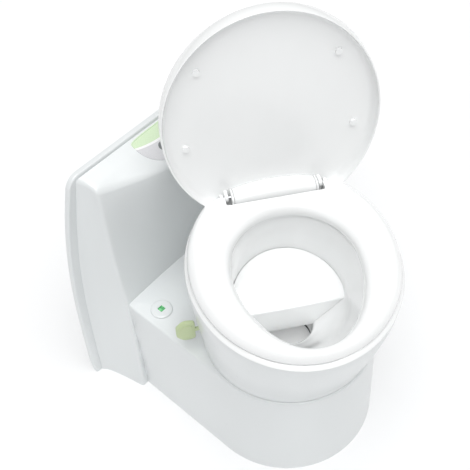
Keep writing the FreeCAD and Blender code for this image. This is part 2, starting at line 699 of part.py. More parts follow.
def lid():
    back = box(-300, -400, 0, 600, "400 + lid_rear", 600)
    dome = common(level_slab("lid_long", "lid_wide", "rim_centre", "lid_low", "lid_high"), back)
    inner_back = box(-300, -400, 0, 600, "400 + lid_rear - lid_skin", 600)
    hollow = common(level_slab("lid_long - lid_skin", "lid_wide - lid_skin", "rim_centre",
                               "lid_low - 3", "lid_high - lid_skin"), inner_back)
    lugs = []
    for side in (1, -1):
        lugs.append(across("lid_lug_in", "lug_thick", "hinge_y", "hinge_z", "lug_radius", side))
        lugs.append(side_box("lid_lug_in", "lug_thick", "hinge_y - lug_radius", "hinge_z",
                             "2 * lug_radius", "lid_high - 1 - hinge_z", side))
    bores = mirrored(lambda side: across("lid_lug_in - 2", "lug_thick + 4", "hinge_y", "hinge_z",
                                         "pin_radius + pin_play", side))
    panel = cut(fuse(cut(dome, hollow), *lugs), *bores)
    node(panel, "lid_panel", open_lid())
    pads = []
    for x, y in ((120, -130), (-120, -130), (150, 20), (-150, 20)):
        pads.append(rod(x, y, "seat_top + 0.3", "bumper_radius",
                        "lid_high - lid_skin - seat_top - 0.3"))
    node(fuse(*pads), "lid_bumpers", open_lid())


def hinge():
    front = box("-bar_half", "bar_front", "rim_top", "2 * bar_half", "hinge_y - bar_front",
                "bar_top - rim_top")
    back = common(rod("-bar_half", "hinge_y", "hinge_z", "bar_round", "2 * bar_half", "x"),
                  box("-bar_half", "hinge_y - 1", "rim_top", "2 * bar_half", 60,
                      "bar_top - rim_top"))
    bar = fuse(front, back)
    bores = mirrored(lambda side: across("pin_inner", "pin_outer", "hinge_y", "hinge_z",
                                         "pin_radius", side))
    bowl_node(cut(bar, *bores), "hinge_bar")
    pins = mirrored(lambda side: across("pin_inner", "pin_outer - pin_inner", "hinge_y",
                                        "hinge_z", "pin_radius", side))
    bowl_node(fuse(*pins), "hinge_pins")


# ---------------------------------------------------------------- waste tank

def stepped_block(inset):
    low = box("-tank_half + %s" % inset, "tank_front + %s" % inset, "tank_low + %s" % inset,
              "2 * (tank_half - %s)" % inset, "tank_rear - tank_front - 2 * %s" % inset,
              "tank_step_z - tank_low - 2 * %s" % inset)
    high = box("-tank_half + %s" % inset, "tank_front + %s" % inset, "tank_low + %s" % inset,
               "2 * (tank_half - %s)" % inset, "tank_step_y - tank_front - 2 * %s" % inset,
               "tank_top - tank_low - 2 * %s" % inset)
    nose = rod(0, 0, "tank_low + %s" % inset, "tank_nose - %s" % inset, 300)
    rear = box(-300, 0, 0, 600, 600, 400)
    return common(fuse(low, high), fuse(nose, rear))


def tank_shell():
    feet = mirrored(lambda side: side_box("lug_in", "lug_out - lug_in", "axle_y - 9",
                                          "axle_z - 7", 18, "tank_low - axle_z + 7.5", side))
    float_lugs = [box("float_x - 6", y, "float_z - 6", 12, 4,
                      "tank_top - tank_wall + 0.5 - float_z + 6")
                  for y in ("float_y - 10", "float_y + 6")]
    cuts = [rod(0, 0, "tank_top - 20", "inlet_radius", 40),
            rod("pivot_x", "pivot_y", "tank_top - 20", "pivot_radius + pin_play", 40),
            rod("spout_x", "spout_y", "tank_step_z - 20", "spout_bore", 40),
            rod("vent_x", "vent_y", "tank_step_z - 20", "4.3", 40),
            rod(-200, "axle_y", "axle_z", "axle_radius + pin_play", 400, "x"),
            rod("float_x", "float_y - 20", "float_z", "3.05", 40, "y")]
    hollow = cut(stepped_block("0"), stepped_block("tank_wall"))
    node(cut(fuse(hollow, *feet, *float_lugs), *cuts), "tank_shell")


def tank_top_parts():
    node(turned("inlet_ring", [("throat_radius + 1", "tank_top"), ("inlet_radius + 6", "tank_top"),
                               ("inlet_radius + 6", "inlet_ring_top"),
                               ("throat_radius + 1", "inlet_ring_top")]), "inlet_ring")
    node(turned("lip_seal", [("throat_radius", "inlet_ring_top"), ("seal_outer", "inlet_ring_top"),
                             ("seal_outer", "seal_top"), ("throat_radius", "seal_top")]),
         "lip_seal")
    cover = box("-cover_half", "cover_near", "cover_low", "2 * cover_half",
                "cover_far - cover_near", "cover_thick")
    node(cover, "slide_cover")
    rails = [box("cover_half + 0.4", -70, "tank_top", 6, 276, "cover_low + 5 - tank_top"),
             box("-cover_half - 6.4", -70, "tank_top", 6, 276, "cover_low + 5 - tank_top")]
    node(fuse(*rails), "cover_rails")


def valve_blade():
    disc = rod(0, 0, "blade_low", "blade_radius", "blade_thick")
    shaft = rod("pivot_x", "pivot_y", "blade_low - 4", "pivot_radius", "tank_top + 3 - blade_low + 4")
    hub = rod("pivot_x", "pivot_y", "blade_low - 4", "pivot_radius + 5", "blade_thick + 4")
    arm = box(0, -11, "blade_low", 80, 22, "blade_thick")
    angle = math.degrees(math.atan2(size("pivot_y"), size("pivot_x")))
    turn = FreeCAD.Rotation(UP, angle)
    start = turn.multVec(V(28, -11, 0))
    arm.Placement = FreeCAD.Placement(V(), turn)
    place(arm, start.x, start.y, "blade_low")
    node(fuse(disc, shaft, hub, arm), "valve_blade")


def wheelset():
    node(rod("-wheel_in - wheel_thick", "axle_y", "axle_z", "axle_radius",
             "2 * (wheel_in + wheel_thick)", "x"), "tank_axle")
    wheels = mirrored(lambda side: across("wheel_in", "wheel_thick", "axle_y", "axle_z",
                                          "wheel_radius", side))
    bores = mirrored(lambda side: across("wheel_in - 1", "wheel_thick + 2", "axle_y", "axle_z",
                                         "axle_radius", side))
    node(fuse(cut(wheels[0], bores[0]), cut(wheels[1], bores[1])), "tank_wheels")


def spout():
    base = V(size("spout_x"), size("spout_y"), size("tank_step_z") + 0.3)
    knee = V(size("spout_x"), size("spout_y"), size("spout_z"))
    tip = V(size("spout_x") - size("spout_reach"), size("spout_y"), size("spout_z"))
    elbow = tube_along([base, knee, tip], size("spout_radius"), size("spout_bore"), 24)
    node(elbow, "spout_elbow")
    start = "spout_x - spout_reach - 6"
    cap = cut(rod(start, "spout_y", "spout_z", "cap_radius", "cap_long", "x"),
              rod("spout_x - spout_reach - 1.7", "spout_y", "spout_z", "spout_radius + 0.4", 40,
                  "x"))
    node(cap, "spout_cap")
    node(cut(rod("spout_x - spout_reach - 1.7", "spout_y", "spout_z", "spout_radius", "1.4", "x"),
             rod("spout_x - spout_reach - 3", "spout_y", "spout_z", "spout_bore", 6, "x")),
         "cap_seal")


def vent():
    cap = rod("vent_x", "vent_y", "tank_step_z + 8", "vent_radius", 7)
    stem = rod("vent_x", "vent_y", "tank_step_z - 8", 4, 17)
    foot = rod("vent_x", "vent_y", "tank_step_z - 8", 7, 2)
    node(fuse(cap, stem, foot), "vent_plunger")
    node(cut(rod("vent_x", "vent_y", "tank_step_z", 6.4, 8),
             rod("vent_x", "vent_y", "tank_step_z - 2", 4.6, 12)), "vent_spring")


def tank_grip():
    low = "grip_z - grip_drop"
    bar = box("-grip_half", "tank_rear + 2", low, "2 * grip_half", "grip_thick", 10)
    sides = mirrored(lambda side: side_box("grip_half - 10", 10, "tank_rear + 2", low,
                                           "grip_thick", "grip_drop + 4", side))
    bores = mirrored(lambda side: across("grip_half - 15", 20, "tank_rear + 6", "grip_z", "2.05",
                                         side))
    node(cut(fuse(bar, *sides), *bores), "tank_grip")
    blocks = mirrored(lambda side: side_box("grip_half + 0.4", 8, "tank_rear", "grip_z - 5", 10, 10,
                                            side))
    pins = mirrored(lambda side: across("grip_half - 9", 12, "tank_rear + 6", "grip_z", 2, side))
    node(fuse(*blocks, *pins), "grip_brackets")


def float_gauge():
    """Float arm hanging at the empty level; it lifts as the tank fills."""
    drop = math.radians(size("arm_drop"))
    pivot = V(size("float_x"), size("float_y"), size("float_z"))
    shaft = rod("float_x", "float_y - 10", "float_z", 3, 20, "y")
    turn = FreeCAD.Rotation(V(0, 1, 0), size("arm_drop"))
    arm = doc.addObject("Part::Box", "Arm")
    bind(arm, Length="arm_reach", Width=6, Height=8)
    arm.Placement = FreeCAD.Placement(pivot + turn.multVec(V(0, -3, -4)), turn)
    node(fuse(shaft, arm), "float_arm")
    bob = doc.addObject("Part::Box", "Bob")
    bind(bob, Length=44, Width=36, Height=26)
    tip = pivot + V(math.cos(drop), 0, -math.sin(drop)) * (size("arm_reach") + 0.2)
    bob.Placement = FreeCAD.Placement(tip + turn.multVec(V(0, -18, -13)), turn)
    node(bob, "float_bob")


# ---------------------------------------------------------------- water supply

def water_supply():
    """Valve inside the console; its inlet stub points out through the service opening."""
    front = "wall_y - flange_thick - valve_gap"
    node(box("valve_x - valve_long / 2", front, "valve_z", "valve_long", "valve_wide",
             "valve_tall"), "solenoid_valve")
    middle = "valve_z + valve_tall / 2"
    elbow = box("inlet_x - elbow_wide / 2", front, middle + " - elbow_wide / 2",
                "valve_x - valve_long / 2 - inlet_x + elbow_wide / 2", 12, "elbow_wide")
    stub = rod("inlet_x", front + " + 8", middle, "inlet_pipe", "inlet_long + 4", "y")
    bore = rod("inlet_x", front + " + 6", middle, "inlet_pipe - 2.5", "inlet_long + 10", "y")
    node(cut(fuse(elbow, stub), bore), "water_inlet")
    x = size("valve_x")
    y = read(front) + size("valve_wide") / 2
    low = size("union_floor")
    far = size("union_out") + size("union_arm") - 8
    points = [V(x, y, size("valve_z")), V(x, y, low), V(far, y, low), V(far, 6, low)]
    node(tube_along(points, size("pipe_radius"), size("pipe_bore"), 12), "supply_pipe")


def build():
    bench_shell()
    console_shell()
    wall_flange()
    base_plate()
    gauge()
    control_panel()
    bearing()
    bowl_shell()
    bowl_rim()
    bowl_liner()
    bowl_shelf()
    flush_pipe()
    lever()
    seat()
    lid()
    hinge()
    tank_shell()
    tank_top_parts()
    valve_blade()
    wheelset()
    spout()
    vent()
    tank_grip()
    float_gauge()
    water_supply()
    doc.recompute()


def check_all():
    """Stop on any failed feature or unsound sub-part."""
    for item in doc.Objects:
        if "Invalid" in item.State or "Error" in item.State:
            raise RuntimeError("failed feature: %s %s" % (item.Name, item.Label))
    for item in nodes:
        if item.Shape.isNull() or not item.Shape.isValid():
            raise RuntimeError("unsound sub-part: " + item.Label)


def export():
    os.makedirs("parts", exist_ok=True)
    for item in nodes:
        item.Shape.exportStep("parts/%s.step" % item.Label)
        print("%-20s solids %d volume %.0f" % (item.Label, len(item.Shape.Solids),
                                               item.Shape.Volume))


build()
check_all()
export()
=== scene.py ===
import json
import math

import bmesh
import bpy
from bpy.props import FloatProperty, FloatVectorProperty, IntProperty, PointerProperty
from mathutils import Matrix, Vector


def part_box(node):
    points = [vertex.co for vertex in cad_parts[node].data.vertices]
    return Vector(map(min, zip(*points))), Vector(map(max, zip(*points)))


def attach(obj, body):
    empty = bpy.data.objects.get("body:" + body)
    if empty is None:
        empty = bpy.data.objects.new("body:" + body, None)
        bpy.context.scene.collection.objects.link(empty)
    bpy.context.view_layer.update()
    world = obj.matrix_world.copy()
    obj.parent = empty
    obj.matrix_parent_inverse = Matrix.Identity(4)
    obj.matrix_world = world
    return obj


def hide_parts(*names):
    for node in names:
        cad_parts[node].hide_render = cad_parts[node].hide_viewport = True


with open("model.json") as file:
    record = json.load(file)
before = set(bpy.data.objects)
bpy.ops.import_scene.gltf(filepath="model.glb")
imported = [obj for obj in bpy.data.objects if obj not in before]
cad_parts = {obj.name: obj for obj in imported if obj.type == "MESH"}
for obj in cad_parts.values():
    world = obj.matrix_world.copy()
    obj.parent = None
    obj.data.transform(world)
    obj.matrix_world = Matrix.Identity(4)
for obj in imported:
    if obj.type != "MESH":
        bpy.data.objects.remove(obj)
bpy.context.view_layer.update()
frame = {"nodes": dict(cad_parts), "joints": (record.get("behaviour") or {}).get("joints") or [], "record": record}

bl_info = {
    "name": "Caravan cassette toilet",
    "version": (1, 0, 0),
    "blender": (4, 5, 0),
    "location": "View3D > Sidebar > Toilet",
    "description": "Builds the moulded shells, bowl, seat, lid and tank of a cassette toilet",
    "category": "Add Mesh",
}

JOINTS = {joint["name"]: joint for joint in frame["joints"]}

# The bowl is drawn facing -Y and turned about Z; the lid is drawn closed and swung open.
HINGE_AXIS = Vector(JOINTS["lid_hinge"]["axis"])
HINGE_POINT = Vector(JOINTS["lid_hinge"]["pos_m"])
TURN = Matrix.Rotation(math.atan2(-HINGE_AXIS.y, -HINGE_AXIS.x), 4, "Z")
HINGE = TURN.inverted() @ HINGE_POINT
LID_OPEN = math.radians(-JOINTS["lid_hinge"]["range_deg"][0])
SWING = (Matrix.Translation(HINGE) @ Matrix.Rotation(-LID_OPEN, 4, "X")
         @ Matrix.Translation(-HINGE))
OPENED = TURN @ SWING


def local_box(node, place=TURN):
    """Box of a CAD node in the frame that it is drawn in."""
    back = place.inverted()
    points = [back @ vert.co for vert in frame["nodes"][node].data.vertices]
    low = Vector([min(point[axis] for point in points) for axis in range(3)])
    high = Vector([max(point[axis] for point in points) for axis in range(3)])
    return low, high


# ------------------------------------------------------------------ settings

class ToiletShape(bpy.types.PropertyGroup):
    """Sizes that a maker would change."""

    segments: IntProperty(
        name="Segments", description="Steps round the bowl", default=144, min=24)
    shell_wall: FloatProperty(
        name="Shell wall", description="Thickness of the moulded shells",
        default=0.004, unit="LENGTH")
    ridge_round: FloatProperty(
        name="Ridge round", description="Length rounded off the console's upright corners",
        default=0.007, unit="LENGTH")
    brow_round: FloatProperty(
        name="Brow radius", description="Rounding of the console's top edge",
        default=0.009, unit="LENGTH")
    bowl_centre: FloatProperty(
        name="Bowl centre", description="Middle of the rim, in front of the swivel axis",
        default=-0.018, unit="LENGTH")
    seat_inset: FloatProperty(
        name="Seat inset", description="How far the seat's edge stands in from the rim",
        default=0.0045, unit="LENGTH")
    bar_front: FloatProperty(
        name="Hinge cover front", description="Front of the hinge cover, ahead of the axis",
        default=0.0225, unit="LENGTH")
    shelf_front: FloatProperty(
        name="Shelf front height", description="Height of the shelf's front edge",
        default=0.327, unit="LENGTH")
    hole_centre: FloatProperty(
        name="Seat hole centre", description="Middle of the seat's hole",
        default=-0.060, unit="LENGTH")
    hole_long: FloatProperty(
        name="Seat hole half length", description="Half of the seat hole's length",
        default=0.147, unit="LENGTH")
    hole_wide: FloatProperty(
        name="Seat hole half width", description="Half of the seat hole's width",
        default=0.111, unit="LENGTH")
    hole_egg: FloatProperty(
        name="Seat hole taper", description="How much narrower the hole's front is",
        default=0.16)


class ToiletFinish(bpy.types.PropertyGroup):
    """Colours of the plastics."""

    shell: FloatVectorProperty(
        name="Shell", description="Moulded outer shells", subtype="COLOR", size=3,
        default=(0.74, 0.765, 0.77))
    bowl: FloatVectorProperty(
        name="Bowl", description="Gloss inner bowl, seat and lid", subtype="COLOR", size=3,
        default=(0.90, 0.91, 0.91))
    green: FloatVectorProperty(
        name="Green", description="Lever, caps and plunger", subtype="COLOR", size=3,
        default=(0.55, 0.64, 0.38))
    band: FloatVectorProperty(
        name="Panel band", description="Printed band on the control panel", subtype="COLOR",
        size=3, default=(0.64, 0.78, 0.55))
    tank: FloatVectorProperty(
        name="Tank", description="Blow-moulded waste tank", subtype="COLOR", size=3,
        default=(0.60, 0.62, 0.62))


def shape():
    """Sizes set in the sidebar."""
    return bpy.context.scene.toilet_shape


def finish():
    """Colours set in the sidebar."""
    return bpy.context.scene.toilet_finish


# ------------------------------------------------------------------ materials

def new_material(name, colour, roughness, **sockets):
    """Principled material with its constant values on the shader."""
    material = bpy.data.materials.new(name)
    material.use_nodes = True
    shader = material.node_tree.nodes["Principled BSDF"]
    shader.inputs["Base Color"].default_value = (*colour, 1)
    shader.inputs["Roughness"].default_value = roughness
    for socket, value in sockets.items():
        shader.inputs[socket.replace("_", " ")].default_value = value
    return material, material.node_tree, shader


def noise_on(tree, scale, detail=4.0, stretch=(1, 1, 1)):
    """Noise read from the piece's own coordinates."""
    coords = tree.nodes.new("ShaderNodeTexCoord")
    mapping = tree.nodes.new("ShaderNodeMapping")
    mapping.inputs["Scale"].default_value = stretch
    noise = tree.nodes.new("ShaderNodeTexNoise")
    noise.inputs["Scale"].default_value = scale
    noise.inputs["Detail"].default_value = detail
    tree.links.new(coords.outputs["Object"], mapping.inputs["Vector"])
    tree.links.new(mapping.outputs["Vector"], noise.inputs["Vector"])
    return noise


def vary(tree, noise, low, high, socket):
    """Drive a plain number socket between two values with a noise."""
    spread = tree.nodes.new("ShaderNodeMapRange")
    spread.inputs["To Min"].default_value = low
    spread.inputs["To Max"].default_value = high
    tree.links.new(noise.outputs["Fac"], spread.inputs["Value"])
    tree.links.new(spread.outputs["Result"], socket)


def tint(tree, noise, dark, light, socket):
    """Drive a colour socket between two colours with a noise."""
    ramp = tree.nodes.new("ShaderNodeValToRGB")
    ramp.color_ramp.elements[0].position = 0.3
    ramp.color_ramp.elements[1].position = 0.7
    ramp.color_ramp.elements[0].color = (*dark, 1)
    ramp.color_ramp.elements[1].color = (*light, 1)
    tree.links.new(noise.outputs["Fac"], ramp.inputs["Fac"])
    tree.links.new(ramp.outputs["Color"], socket)


def bump(tree, noise, strength, distance, shader):
    """Raise the surface a little with a noise."""
    node = tree.nodes.new("ShaderNodeBump")
    node.inputs["Strength"].default_value = strength
    node.inputs["Distance"].default_value = distance
    tree.links.new(noise.outputs["Fac"], node.inputs["Height"])
    tree.links.new(node.outputs["Normal"], shader.inputs["Normal"])


def shade(colour, factor):
    """Colour made darker or lighter."""
    return tuple(min(1.0, part * factor) for part in colour)


def moulded(name, colour, roughness, grain, relief, spread=0.06, coat=0.0, painted_glow=0.0):
    """Injection-moulded plastic: faint flow marks, fine skin texture, uneven gloss; a glow, when given, is painted
    light, the plastic emitting though it is no lamp.
    """
    material, tree, shader = new_material(name, colour, roughness, Coat_Weight=coat,
                                          Coat_Roughness=0.12, Emission_Color=(*colour, 1),
                                          Emission_Strength=painted_glow)
    flow = noise_on(tree, 6.0, 3.0, (1, 1, 0.35))
    tint(tree, flow, shade(colour, 0.975), shade(colour, 1.015), shader.inputs["Base Color"])
    skin = noise_on(tree, grain, 5.0)
    vary(tree, skin, roughness - spread, roughness + spread, shader.inputs["Roughness"])
    bump(tree, skin, 0.25, relief, shader)
    return material


def rubber(name):
    """Matt black rubber with dust in it."""
    material, tree, shader = new_material(name, (0.035, 0.036, 0.038), 0.62)
    dust = noise_on(tree, 90.0, 6.0)
    tint(tree, dust, (0.026, 0.027, 0.028), (0.055, 0.055, 0.057), shader.inputs["Base Color"])
    vary(tree, dust, 0.5, 0.78, shader.inputs["Roughness"])
    bump(tree, noise_on(tree, 900.0), 0.3, 0.0002, shader)
    return material


def brushed(name):
    """Steel with fine scratches along its length."""
    material, tree, shader = new_material(name, (0.62, 0.63, 0.64), 0.3, Metallic=1.0)
    scratches = noise_on(tree, 140.0, 6.0, (0.06, 1, 1))
    vary(tree, scratches, 0.2, 0.42, shader.inputs["Roughness"])
    bump(tree, scratches, 0.2, 0.0001, shader)
    return material


def clear_green(name):
    """Glossy tinted lens, cloudy inside."""
    material, tree, shader = new_material(name, (0.12, 0.62, 0.22), 0.08, Coat_Weight=0.6)
    cloud = noise_on(tree, 160.0, 2.0)
    tint(tree, cloud, (0.02, 0.20, 0.06), (0.25, 0.80, 0.33), shader.inputs["Base Color"])
    vary(tree, cloud, 0.05, 0.14, shader.inputs["Roughness"])
    return material


def board(name):
    """Circuit laminate with darker and lighter green tracks."""
    material, tree, shader = new_material(name, (0.02, 0.13, 0.06), 0.4)
    tracks = noise_on(tree, 300.0, 1.0, (1, 0.2, 1))
    tint(tree, tracks, (0.015, 0.10, 0.045), (0.06, 0.24, 0.10), shader.inputs["Base Color"])
    bump(tree, tracks, 0.3, 0.0002, shader)
    return material


def panel_print(name, green, white):
    """Printed face: green above a white line, lilac grey below, white round the edge."""
    material, tree, shader = new_material(name, white, 0.26, Coat_Weight=0.4)
    coords = tree.nodes.new("ShaderNodeTexCoord")
    mapping = tree.nodes.new("ShaderNodeMapping")
    mapping.vector_type = "TEXTURE"
    mapping.inputs["Location"].default_value = (0, 0.300, 0.562)
    mapping.inputs["Rotation"].default_value = (math.atan(0.46), 0, 0)
    split = tree.nodes.new("ShaderNodeSeparateXYZ")
    tree.links.new(coords.outputs["Object"], mapping.inputs["Vector"])
    tree.links.new(mapping.outputs["Vector"], split.inputs["Vector"])
    bend = tree.nodes.new("ShaderNodeMath")
    bend.operation = "MULTIPLY"
    tree.links.new(split.outputs["X"], bend.inputs[0])
    tree.links.new(split.outputs["X"], bend.inputs[1])
    curve = tree.nodes.new("ShaderNodeMath")
    curve.operation = "MULTIPLY_ADD"
    curve.inputs[1].default_value = -3.0
    tree.links.new(bend.outputs["Value"], curve.inputs[0])
    tree.links.new(split.outputs["Y"], curve.inputs[2])
    spread = tree.nodes.new("ShaderNodeMapRange")
    spread.inputs["From Min"].default_value = -0.060
    spread.inputs["From Max"].default_value = 0.040
    tree.links.new(curve.outputs["Value"], spread.inputs["Value"])
    ramp = tree.nodes.new("ShaderNodeValToRGB")
    ramp.color_ramp.interpolation = "CONSTANT"
    stops = ((0.0, (0.66, 0.66, 0.68)), (0.66, (0.90, 0.90, 0.90)), (0.70, green))
    ramp.color_ramp.elements[0].color = (*stops[0][1], 1)
    ramp.color_ramp.elements[1].position = stops[1][0]
    ramp.color_ramp.elements[1].color = (*stops[1][1], 1)
    last = ramp.color_ramp.elements.new(stops[2][0])
    last.color = (*stops[2][1], 1)
    tree.links.new(spread.outputs["Result"], ramp.inputs["Fac"])
    tree.links.new(ramp.outputs["Color"], shader.inputs["Base Color"])
    skin = noise_on(tree, 800.0)
    vary(tree, skin, 0.2, 0.34, shader.inputs["Roughness"])
    return material


def make_materials():
    """Every finish, by the slot that it serves."""
    look = finish()
    return {
        "white_shell": moulded("shell_plastic", look.shell, 0.30, 420.0, 0.00004, coat=0.25),
        "white_bowl": moulded("bowl_plastic", look.bowl, 0.17, 260.0, 0.00002, 0.04, 0.5),
        "white_seat": moulded("seat_plastic", look.bowl, 0.20, 300.0, 0.00002, 0.05, 0.45),
        "lever_green": moulded("green_plastic", look.green, 0.40, 500.0, 0.00008),
        "panel_green": moulded("panel_print", look.band, 0.30, 700.0, 0.00003),
        "lens_green": clear_green("green_lens"),
        "black_rubber": rubber("black_rubber"),
        "steel": brushed("brushed_steel"),
        "tank_plastic": moulded("tank_plastic", look.tank, 0.48, 240.0, 0.00025, 0.08),
        "grey_plastic": moulded("grey_plastic", (0.17, 0.18, 0.185), 0.45, 600.0, 0.0001),
        "bearing_plastic": moulded("bearing_plastic", (0.68, 0.67, 0.60), 0.5, 500.0, 0.0001),
        "board_green": board("board_laminate"),
        "valve_body": moulded("valve_body", (0.03, 0.032, 0.035), 0.42, 600.0, 0.00012),
        # The valve blade's plastic glows: painted light that brightens it deep in the shadowed throat, though it
        # is no lamp.
        "blade": moulded("blade_plastic_painted_glow", look.bowl, 0.22, 260.0, 0.00002, 0.04, 0.4, painted_glow=0.22),
        "panel_print": panel_print("panel_print", look.band, look.shell),
    }


def material(slot):
    """Finish of a slot, made on first use."""
    if slot not in MATERIALS:
        MATERIALS.update(make_materials())
    return MATERIALS[slot]


MATERIALS = {}


# ------------------------------------------------------------------ mesh helpers

def soft_limit(value, limit, width):
    """Value held below a limit with a rounded corner."""
    if limit is None or value < limit - 8 * width:
        return value
    lowest = min(value, limit)
    total = math.exp((lowest - value) / width) + math.exp((lowest - limit) / width)
    return lowest - width * math.log(total)


def oval(angle, row, back=None, corner=0.006, egg=0.0):
    """Point of an oval: a row is half length, half width, centre and height."""
    long, wide, centre, height = row
    along = math.sin(angle)
    across = wide * math.cos(angle) * (1 + egg * along)
    return Vector((across, soft_limit(centre + long * along, back, corner), height))


def lattice(rows, place, closed=False, segments=None, caps=()):
    """Skin over stacked outlines: spin one vertex per row, then seat each by row and angle."""
    bm = bmesh.new()
    tag = bm.verts.layers.int.new("row")
    verts = []
    for index in range(len(rows)):
        turn = 5 * index / len(rows)
        vert = bm.verts.new((2 + math.cos(turn), 0, math.sin(turn)))
        vert[tag] = index
        verts.append(vert)
    edges = [bm.edges.new(pair) for pair in zip(verts, verts[1:])]
    if closed:
        edges.append(bm.edges.new((verts[-1], verts[0])))
    bmesh.ops.spin(bm, geom=verts + edges, cent=(0, 0, 0), axis=(0, 0, 1), angle=math.tau,
                   steps=segments or shape().segments, use_merge=True)
    for vert in bm.verts:
        vert.co = place(math.atan2(vert.co.y, vert.co.x), rows[vert[tag]])
    for end in caps:
        rim = [edge for edge in bm.edges if edge.is_boundary
               and all(vert[tag] == end % len(rows) for vert in edge.verts)]
        bmesh.ops.edgeloop_fill(bm, edges=rim)
    return bm


def smooth_rows(rows, steps):
    """Rows between key rows, on a smooth curve through them."""
    made = []
    for index in range(len(rows) - 1):
        before = rows[max(index - 1, 0)]
        start, end = rows[index], rows[index + 1]
        after = rows[min(index + 2, len(rows) - 1)]
        for step in range(steps):
            part = step / steps
            made.append(tuple(
                0.5 * (2 * b + (c - a) * part + (2 * a - 5 * b + 4 * c - d) * part ** 2
                       + (3 * b - a - 3 * c + d) * part ** 3)
                for a, b, c, d in zip(before, start, end, after)))
    return made + [rows[-1]]


def lathe(profile, steps=96, axis="Z", centre=(0, 0, 0), closed=False):
    """Spin a profile of (radius, height) about an axis through a centre."""
    bm = bmesh.new()
    verts = [bm.verts.new((radius, 0, height)) for radius, height in profile]
    edges = [bm.edges.new(pair) for pair in zip(verts, verts[1:])]
    if closed:
        edges.append(bm.edges.new((verts[-1], verts[0])))
    bmesh.ops.spin(bm, geom=verts + edges, cent=(0, 0, 0), axis=(0, 0, 1),
                   angle=math.tau, steps=steps, use_merge=True)
    bmesh.ops.remove_doubles(bm, verts=bm.verts, dist=1e-6)
    if axis != "Z":
        turn = Matrix.Rotation(math.pi / 2, 4, "Y" if axis == "X" else "X")
        bmesh.ops.transform(bm, matrix=turn, verts=bm.verts)
    bmesh.ops.translate(bm, vec=centre, verts=bm.verts)
    bmesh.ops.recalc_face_normals(bm, faces=bm.faces)
    return bm


def block(low, high, radius=0.0, segments=3, edges=None):
    """Box between two corners, its edges rounded."""
    bm = bmesh.new()
    low, high = Vector(low), Vector(high)
    bmesh.ops.create_cube(bm, size=1)
    bmesh.ops.scale(bm, vec=high - low, verts=bm.verts)
    bmesh.ops.translate(bm, vec=(low + high) / 2, verts=bm.verts)
    if radius:
        chosen = [edge for edge in bm.edges if edges is None or edges(edge)]
        bmesh.ops.bevel(bm, geom=chosen, offset=radius, segments=segments, profile=0.5,
                        affect="EDGES", clamp_overlap=True, material=-1)
    return bm


def slab(points, depth, radius=0.0, segments=3):
    """Flat outline pushed to a depth, its face edges rounded."""
    bm = bmesh.new()
    face = bm.faces.new([bm.verts.new(point) for point in points])
    made = bmesh.ops.extrude_face_region(bm, geom=[face])["geom"]
    bmesh.ops.translate(bm, vec=depth, verts=[v for v in made if isinstance(v, bmesh.types.BMVert)])
    bmesh.ops.recalc_face_normals(bm, faces=bm.faces)
    if radius:
        direction = Vector(depth).normalized()
        rims = [edge for edge in bm.edges
                if abs((edge.verts[0].co - edge.verts[1].co).normalized().dot(direction)) < 0.5]
        bmesh.ops.bevel(bm, geom=rims, offset=radius, segments=segments, profile=0.5,
                        affect="EDGES", clamp_overlap=True, material=-1)
    return bm


def upright(edge):
    """Whether an edge runs up and down."""
    return abs(edge.verts[0].co.z - edge.verts[1].co.z) > 0.7 * edge.calc_length()


def level(edge):
    """Whether an edge runs from front to back."""
    return abs(edge.verts[0].co.y - edge.verts[1].co.y) > 0.05


def joined(*parts):
    """One mesh out of several separate closed forms."""
    whole = parts[0]
    for part in parts[1:]:
        scrap = bpy.data.meshes.new("scrap")
        part.to_mesh(scrap)
        part.free()
        whole.from_mesh(scrap)
        bpy.data.meshes.remove(scrap)
    return whole


def mark_sharp(mesh, degrees):
    """Smooth shading, broken at edges that turn more than an angle."""
    bm = bmesh.new()
    bm.from_mesh(mesh)
    limit = math.radians(degrees)
    for face in bm.faces:
        face.smooth = True
    for edge in bm.edges:
        edge.smooth = len(edge.link_faces) == 2 and edge.calc_face_angle(0) < limit
    bm.to_mesh(mesh)
    bm.free()


def carve(target, *tools):
    """Cut closed tool meshes out of a piece and keep the result as plain mesh."""
    for tool_mesh in tools:
        bmesh.ops.recalc_face_normals(tool_mesh, faces=tool_mesh.faces)
        mesh = bpy.data.meshes.new("tool")
        tool_mesh.to_mesh(mesh)
        tool_mesh.free()
        tool = bpy.data.objects.new("tool", mesh)
        bpy.context.scene.collection.objects.link(tool)
        cutter = target.modifiers.new("cut", "BOOLEAN")
        cutter.operation = "DIFFERENCE"
        cutter.solver = "EXACT"
        cutter.object = tool
        graph = bpy.context.evaluated_depsgraph_get()
        result = bpy.data.meshes.new_from_object(target.evaluated_get(graph))
        target.modifiers.clear()
        old = target.data
        target.data = result
        bpy.data.objects.remove(tool)
        bpy.data.meshes.remove(mesh)
        bpy.data.meshes.remove(old)


def piece(name, bm, slot, body, replaces=(), place=None, sharp=40, wall=0.0, bevel=0.0,
          look=None, cuts=(), outward=True):
    """Finish a mesh as a named piece that rides on a body."""
    bmesh.ops.remove_doubles(bm, verts=bm.verts, dist=1e-6)
    if outward:
        bmesh.ops.recalc_face_normals(bm, faces=bm.faces)
    mesh = bpy.data.meshes.new(name)
    bm.to_mesh(mesh)
    bm.free()
    made = bpy.data.objects.new(name, mesh)
    bpy.context.scene.collection.objects.link(made)
    if wall:
        thick = made.modifiers.new("wall", "SOLIDIFY")
        thick.thickness = wall
        thick.offset = -1
        graph = bpy.context.evaluated_depsgraph_get()
        solid = bpy.data.meshes.new_from_object(made.evaluated_get(graph))
        made.modifiers.clear()
        made.data = solid
        bpy.data.meshes.remove(mesh)
    carve(made, *cuts)
    made.data.name = name
    if place is not None:
        made.data.transform(place)
    mark_sharp(made.data, sharp)
    made.data.materials.clear()
    made.data.materials.append(material(look or slot))
    if bevel:
        rounding = made.modifiers.new("rounding", "BEVEL")
        rounding.width = bevel
        rounding.segments = 4
        rounding.limit_method = "ANGLE"
        rounding.angle_limit = math.radians(32)
    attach(made, body)
    if replaces:
        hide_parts(*replaces)
    return made


